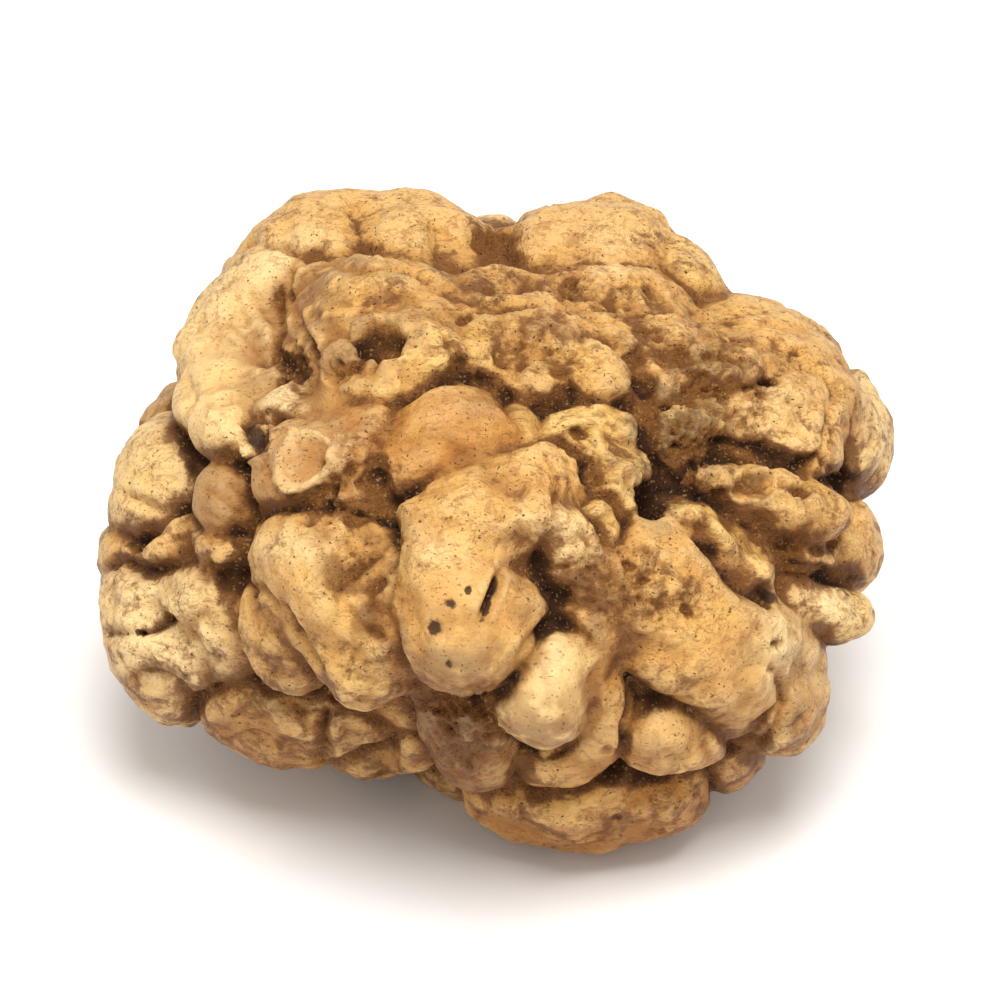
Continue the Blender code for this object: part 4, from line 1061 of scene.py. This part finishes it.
def make_body(families):
    body = join_lobes(families)
    settle_on_lobes(body, families)
    remesh(body, FINE_VOXEL)
    edges = edges_of(body)
    points = relax(points_of(body), edges, 0.5, 2)
    move_points(body, points)
    outward = outward_ways(body, edges, 6)
    tree = tree_of(body)
    cut, puff, line_soil_and_shade = press_creases(points, tree)
    _, gap = nearest_family(points, families)
    slack = np.clip(0.75 + 1.6 * noise_at(points, 11.0, 8), 0.15, 1.3)
    apart = np.clip(1.4 - flow_together(points), 0, 1)
    cut = np.maximum(cut, SEAM_DEPTH * slack * apart * np.exp(-gap / SEAM_WIDTH))
    move = puff - cut + press_dents(points, outward, tree)
    points = relax(points + move[:, None] * outward, edges, 0.3)
    points, grooves = crumble(points, outward_ways(body, edges, 2))
    points[:, 2] = np.maximum(points[:, 2], REST_HEIGHT)
    move_points(body, points)
    # The line attribute paints the skin darker along creases and seams, as soil and painted shade
    seam_soil_and_shade = 0.9 * np.clip(slack, 0.3, 1) * apart * np.exp(-gap / 0.6)
    store(body, "line", np.maximum(line_soil_and_shade, seam_soil_and_shade))
    store(body, "groove", grooves)
    # Nearness to a seam, which paints shade and a brown film towards the seams
    store(body, "seam", np.exp(-gap / 3.0))
    thin_out(body)
    return body


def paint_body(body, families):
    points = points_of(body)
    edges = edges_of(body)
    owner, _ = nearest_family(points, families)
    store(body, "tint", skin_tints(body, owner, edges))
    # Openness to the sky: the hollows it finds are painted darker, as soil and painted shade
    store(body, "open", openness(body, edges))
    store(body, "soil", ovals_amount(ragged(points, 1.4), SOILED))
    store(body, "stain", ovals_amount(ragged(points, 0.3), STAINS, 2))
    # Raised parts are painted paler, partly wear and partly a painted highlight; low parts darker,
    # a film and painted shade
    store(body, "raised", np.clip(bulge(body, edges) / 0.9, -1, 1))
    store(body, "smooth", ovals_amount(points, SMOOTH))
    # Facing down: these sides get painted shade, and some brown film
    store(body, "under", np.clip(0.62 - outward_ways(body, edges, 4)[:, 2], 0, 1))


def place(body):
    """Puts the body over the middle of the CAD box, on its floor, in metres."""
    points = points_of(body)
    middle = (points.min(axis=0) + points.max(axis=0)) / 2
    centre = (cad_low + cad_high) / 2
    shift = Matrix.Translation((-middle[0], -middle[1], -REST_HEIGHT))
    home = Matrix.Translation((centre.x, centre.y, cad_low.z))
    body.data.transform(home @ Matrix.Scale(MM, 4) @ shift)
    body.data.update()


class Value:
    """A socket that can be used in plain arithmetic."""

    def __init__(self, graph, socket):
        self.graph = graph
        self.socket = socket

    def math(self, operation, first, second):
        return self.graph.node("ShaderNodeMath", {"operation": operation}, {0: first, 1: second})

    def __add__(self, other):
        return self.math("ADD", self, other)

    def __mul__(self, other):
        return self.math("MULTIPLY", self, other)

    def __sub__(self, other):
        return self.math("SUBTRACT", self, other)

    def __rsub__(self, other):
        return self.math("SUBTRACT", other, self)

    def between(self, low, high):
        """0 below low, 1 above high, eased between."""
        settings = {"interpolation_type": "SMOOTHSTEP", "clamp": True}
        inputs = {"Value": self, "From Min": low, "From Max": high}
        return self.graph.node("ShaderNodeMapRange", settings, inputs)


class Graph:
    """The nodes of one material."""

    def __init__(self, name):
        self.material = bpy.data.materials.new(name)
        self.material.use_nodes = True
        self.tree = self.material.node_tree
        self.shader = self.tree.nodes["Principled BSDF"]

    def node(self, kind, settings=None, inputs=None, output=0):
        made = self.tree.nodes.new(kind)
        for name, value in (settings or {}).items():
            setattr(made, name, value)
        for name, value in (inputs or {}).items():
            self.feed(made.inputs[name], value)
        return Value(self, made.outputs[output])

    def feed(self, socket, value):
        if isinstance(value, Value):
            self.tree.links.new(value.socket, socket)
        else:
            socket.default_value = value

    def attribute(self, name, output="Fac"):
        return self.node("ShaderNodeAttribute", {"attribute_name": name}, output=output)

    def noise(self, where, size, detail, roughness, distortion=0.0):
        inputs = {"Vector": where, "Scale": 1 / size, "Detail": detail}
        inputs.update({"Roughness": roughness, "Distortion": distortion})
        return self.node("ShaderNodeTexNoise", {}, inputs)

    def mix(self, amount, first, second):
        inputs = {0: amount, 6: first, 7: second}
        return self.node("ShaderNodeMix", {"data_type": "RGBA"}, inputs, output=2)


def rgba(name):
    return (*linear(PAINTS[name]), 1.0)


def flecks(graph, where, size, largest):
    """Small irregular marks, of many sizes: 1 inside a mark."""
    inputs = {"Vector": where, "Scale": 1 / size, "Randomness": 1.0}
    distance = graph.node("ShaderNodeTexVoronoi", {"feature": "F1"}, inputs)
    cell = graph.node("ShaderNodeTexVoronoi", {"feature": "F1"}, inputs, output="Color")
    chance = graph.node("ShaderNodeSeparateColor", {}, {0: cell})
    return (chance * chance * largest - distance).between(-0.03, 0.05)


def skin_material():
    graph = Graph("truffle_skin")
    coords = graph.node("ShaderNodeTexCoord", output="Object")
    scaling = {0: coords, "Scale": 1 / MM}
    where = graph.node("ShaderNodeVectorMath", {"operation": "SCALE"}, scaling)
    tint = graph.attribute("tint", "Color")
    soiled = graph.attribute("soil")
    line = graph.attribute("line")
    open_sky = graph.attribute("open")
    stain = graph.attribute("stain")
    raised = graph.attribute("raised")
    groove = graph.attribute("groove")
    seam = graph.attribute("seam")
    under = graph.attribute("under")
    unsmooth = 1 - graph.attribute("smooth") * 0.75

    blotch = graph.noise(where, 7.0, 4.0, 0.6)
    film = graph.noise(where, 3.4, 6.0, 0.68, 0.6)
    mottle = graph.noise(where, 2.2, 5.0, 0.68, 0.8)
    weave = graph.noise(where, 0.8, 4.0, 0.75, 1.2)
    grain = graph.noise(where, 0.5, 4.0, 0.7)
    wobbling = {"Vector": where, "Scale": 1.3, "Detail": 3.0}
    wobble = graph.node("ShaderNodeTexNoise", {}, wobbling, output="Color")
    shaking = {0: wobble, 1: (0.9, 0.9, 0.9), 2: where}
    shaken = graph.node("ShaderNodeVectorMath", {"operation": "MULTIPLY_ADD"}, shaking)
    turned = {"Vector": shaken, "Rotation": (0.5, 0.3, 0.9), "Scale": (0.3, 1.0, 1.0)}
    flow = graph.node("ShaderNodeMapping", {}, turned)
    fibre = graph.noise(flow, 0.6, 3.0, 0.6, 0.8)

    # The clean skin: light and warm blotches, painted shade towards the seams and on the
    # down-facing sides, and paler on raised parts, partly from wear and partly a painted highlight
    light = graph.mix(blotch.between(0.46, 0.64) * 0.35, tint, rgba("straw"))
    warm = graph.mix((1 - blotch).between(0.5, 0.64) * 0.35, light, rgba("tan"))
    # Painted shade: toffee towards the seams, on the down-facing sides and where the skin is not
    # raised
    edge = (seam * 0.5 + under * 0.6 - raised * 0.25 + blotch * 0.5).between(0.3, 1.0)
    shaded = graph.mix(edge * 0.72, warm, rgba("toffee"))
    # Raised parts are mixed towards cream: partly pale from wear, partly a painted highlight
    pale_wear_and_highlight = graph.mix(0.35, tint, rgba("cream"))
    rubbing_and_highlight = (raised + (film - 0.5) * 0.7).between(0.0, 0.7)
    rubbed_and_highlit = graph.mix(rubbing_and_highlight * 0.75, shaded, pale_wear_and_highlight)
    mottled = graph.mix(mottle.between(0.5, 0.62) * 0.5 * unsmooth, rubbed_and_highlit, rgba("toffee"))
    weathering = (weave + film * 0.4).between(0.74, 0.86)
    weathered = graph.mix(weathering * 0.42 * unsmooth, mottled, rgba("brown"))
    fibres = (1 - fibre).between(0.55, 0.68)
    fibred = graph.mix(fibres * 0.45 * unsmooth, weathered, rgba("brown"))

    # A thin brown film, darker where painted shade is added in the hollows, near seams, on
    # down-facing sides and in low places; then soil, with painted shade in the hollows and creases,
    # darkest in the folds
    hollow = (1 - open_sky).between(0.1, 0.66)
    low = (0 - raised).between(-0.1, 0.9)
    # A patchy brown film, with painted shade added in the hollows, near the seams, on the
    # down-facing sides and in the low places
    coat_and_shade = film * 1.7 * unsmooth + soiled * 0.25 + hollow * 0.5 + seam * 0.15
    coat_and_shade = coat_and_shade + under * 0.2 + low * 0.3 + groove * 0.22 + grain * 0.3
    filmed_and_shaded = graph.mix(coat_and_shade.between(1.14, 1.5) * 0.85, fibred, rgba("brown"))
    # Soil where it clings, plus painted shade in the hollows, creases and low places; umber painted
    # shade in the deepest hollows
    dirt_and_shade = soiled * 0.5 + hollow * 0.75 + line * 0.3 + low * 0.25
    dirt_and_shade = (dirt_and_shade + groove * 0.2 + mottle * 0.8 + grain * 0.4).between(0.98, 1.6)
    earth_and_shade = graph.mix(grain.between(0.38, 0.6), rgba("brown"), rgba("toffee"))
    earth_and_shade = graph.mix(hollow.between(0.5, 1.0) * 0.8, earth_and_shade, rgba("umber"))
    soiled_and_shaded_skin = graph.mix(dirt_and_shade * 0.85, filmed_and_shaded, earth_and_shade)
    # Dark umber along the creases and in the hollows: soil and painted shade
    deep_line_soil_and_shade = line * (1.2 - grain * 0.5) * 0.8 + hollow * 0.5 + groove * 0.2
    pressed = graph.mix(deep_line_soil_and_shade.between(0.5, 1.1) * 0.9, soiled_and_shaded_skin, rgba("umber"))

    # Specks, grains of soil and stains
    dots = flecks(graph, shaken, 0.7, 0.24)
    dashes = flecks(graph, flow, 0.36, 0.3)
    grit = flecks(graph, shaken, 0.42, 0.5) * dirt_and_shade
    dotted = graph.mix(dots * 0.8 * unsmooth, pressed, rgba("umber"))
    dashed = graph.mix(dashes * 0.4, dotted, rgba("soil"))
    gritty = graph.mix(grit * 0.4, dashed, rgba("sand"))
    spotted = stain + (mottle - 0.5) * 0.5 + (grain - 0.5) * 0.25
    stained = graph.mix(spotted.between(0.35, 0.62) * 0.9, gritty, rgba("blackish"))

    deeper = graph.node("ShaderNodeGamma", {}, {"Color": stained, "Gamma": 1.08})
    graph.feed(graph.shader.inputs["Base Color"], deeper)
    graph.feed(graph.shader.inputs["Roughness"], dirt_and_shade * 0.3 + 0.42 + grain * 0.12)
    graph.feed(graph.shader.inputs["Specular IOR Level"], 0.22)
    height = (film * 0.5 + mottle * 0.6 + fibre * 0.4) * unsmooth
    height = height + grain * (dirt_and_shade * 0.7 + 0.3) - dots * 0.3 - dashes * 0.2
    bumps = {"Strength": 1.0, "Distance": 0.0006, "Height": height}
    graph.feed(graph.shader.inputs["Normal"], graph.node("ShaderNodeBump", {}, bumps))
    return graph.material


def make_floor():
    bpy.ops.mesh.primitive_plane_add(size=FLOOR_SIZE, location=(0, 0, 0))
    floor = bpy.context.object
    floor.name = "floor"
    graph = Graph("pale_floor")
    graph.feed(graph.shader.inputs["Base Color"], (*FLOOR_COLOUR, 1))
    graph.feed(graph.shader.inputs["Roughness"], 0.9)
    graph.feed(graph.shader.inputs["Specular IOR Level"], 0.1)
    floor.data.materials.append(graph.material)


def face_along(obj, way):
    obj.rotation_mode = "QUATERNION"
    obj.rotation_quaternion = way.to_track_quat("-Z", "Y")


def light_studio():
    world = bpy.data.worlds.new("studio")
    bpy.context.scene.world = world
    world.use_nodes = True
    sky = world.node_tree.nodes["Background"]
    sky.inputs["Color"].default_value = (*SKY_COLOUR, 1)
    sky.inputs["Strength"].default_value = SKY_STRENGTH
    bpy.ops.object.light_add(type="AREA", location=SOFTBOX_PLACE)
    light = bpy.context.object
    light.name = "softbox"
    light.data.shape = "DISK"
    light.data.size = SOFTBOX_SIZE
    light.data.energy = SOFTBOX_POWER
    light.data.color = SOFTBOX_COLOUR
    face_along(light, SOFTBOX_AIM - Vector(SOFTBOX_PLACE))


def add_camera():
    bpy.ops.object.camera_add(location=CAMERA_TARGET + CAMERA_DISTANCE * OUT_OF_FACE)
    camera = bpy.context.object
    face_along(camera, -OUT_OF_FACE)
    camera.data.lens = 36 * CAMERA_DISTANCE / VIEW_WIDTH
    camera.data.shift_x, camera.data.shift_y = CAMERA_SHIFT
    camera.data.clip_end = 10
    bpy.context.scene.camera = camera
    bpy.context.scene.view_settings.view_transform = "Standard"


families = all_families()
body = make_body(families)
paint_body(body, families)
place(body)
body.name = "truffle_skin"
body.data.name = "truffle_skin"
body.data.materials.clear()
body.data.materials.append(skin_material())
body.data.shade_smooth()
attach(body, "root")
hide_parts("truffle")
make_floor()
light_studio()
add_camera()
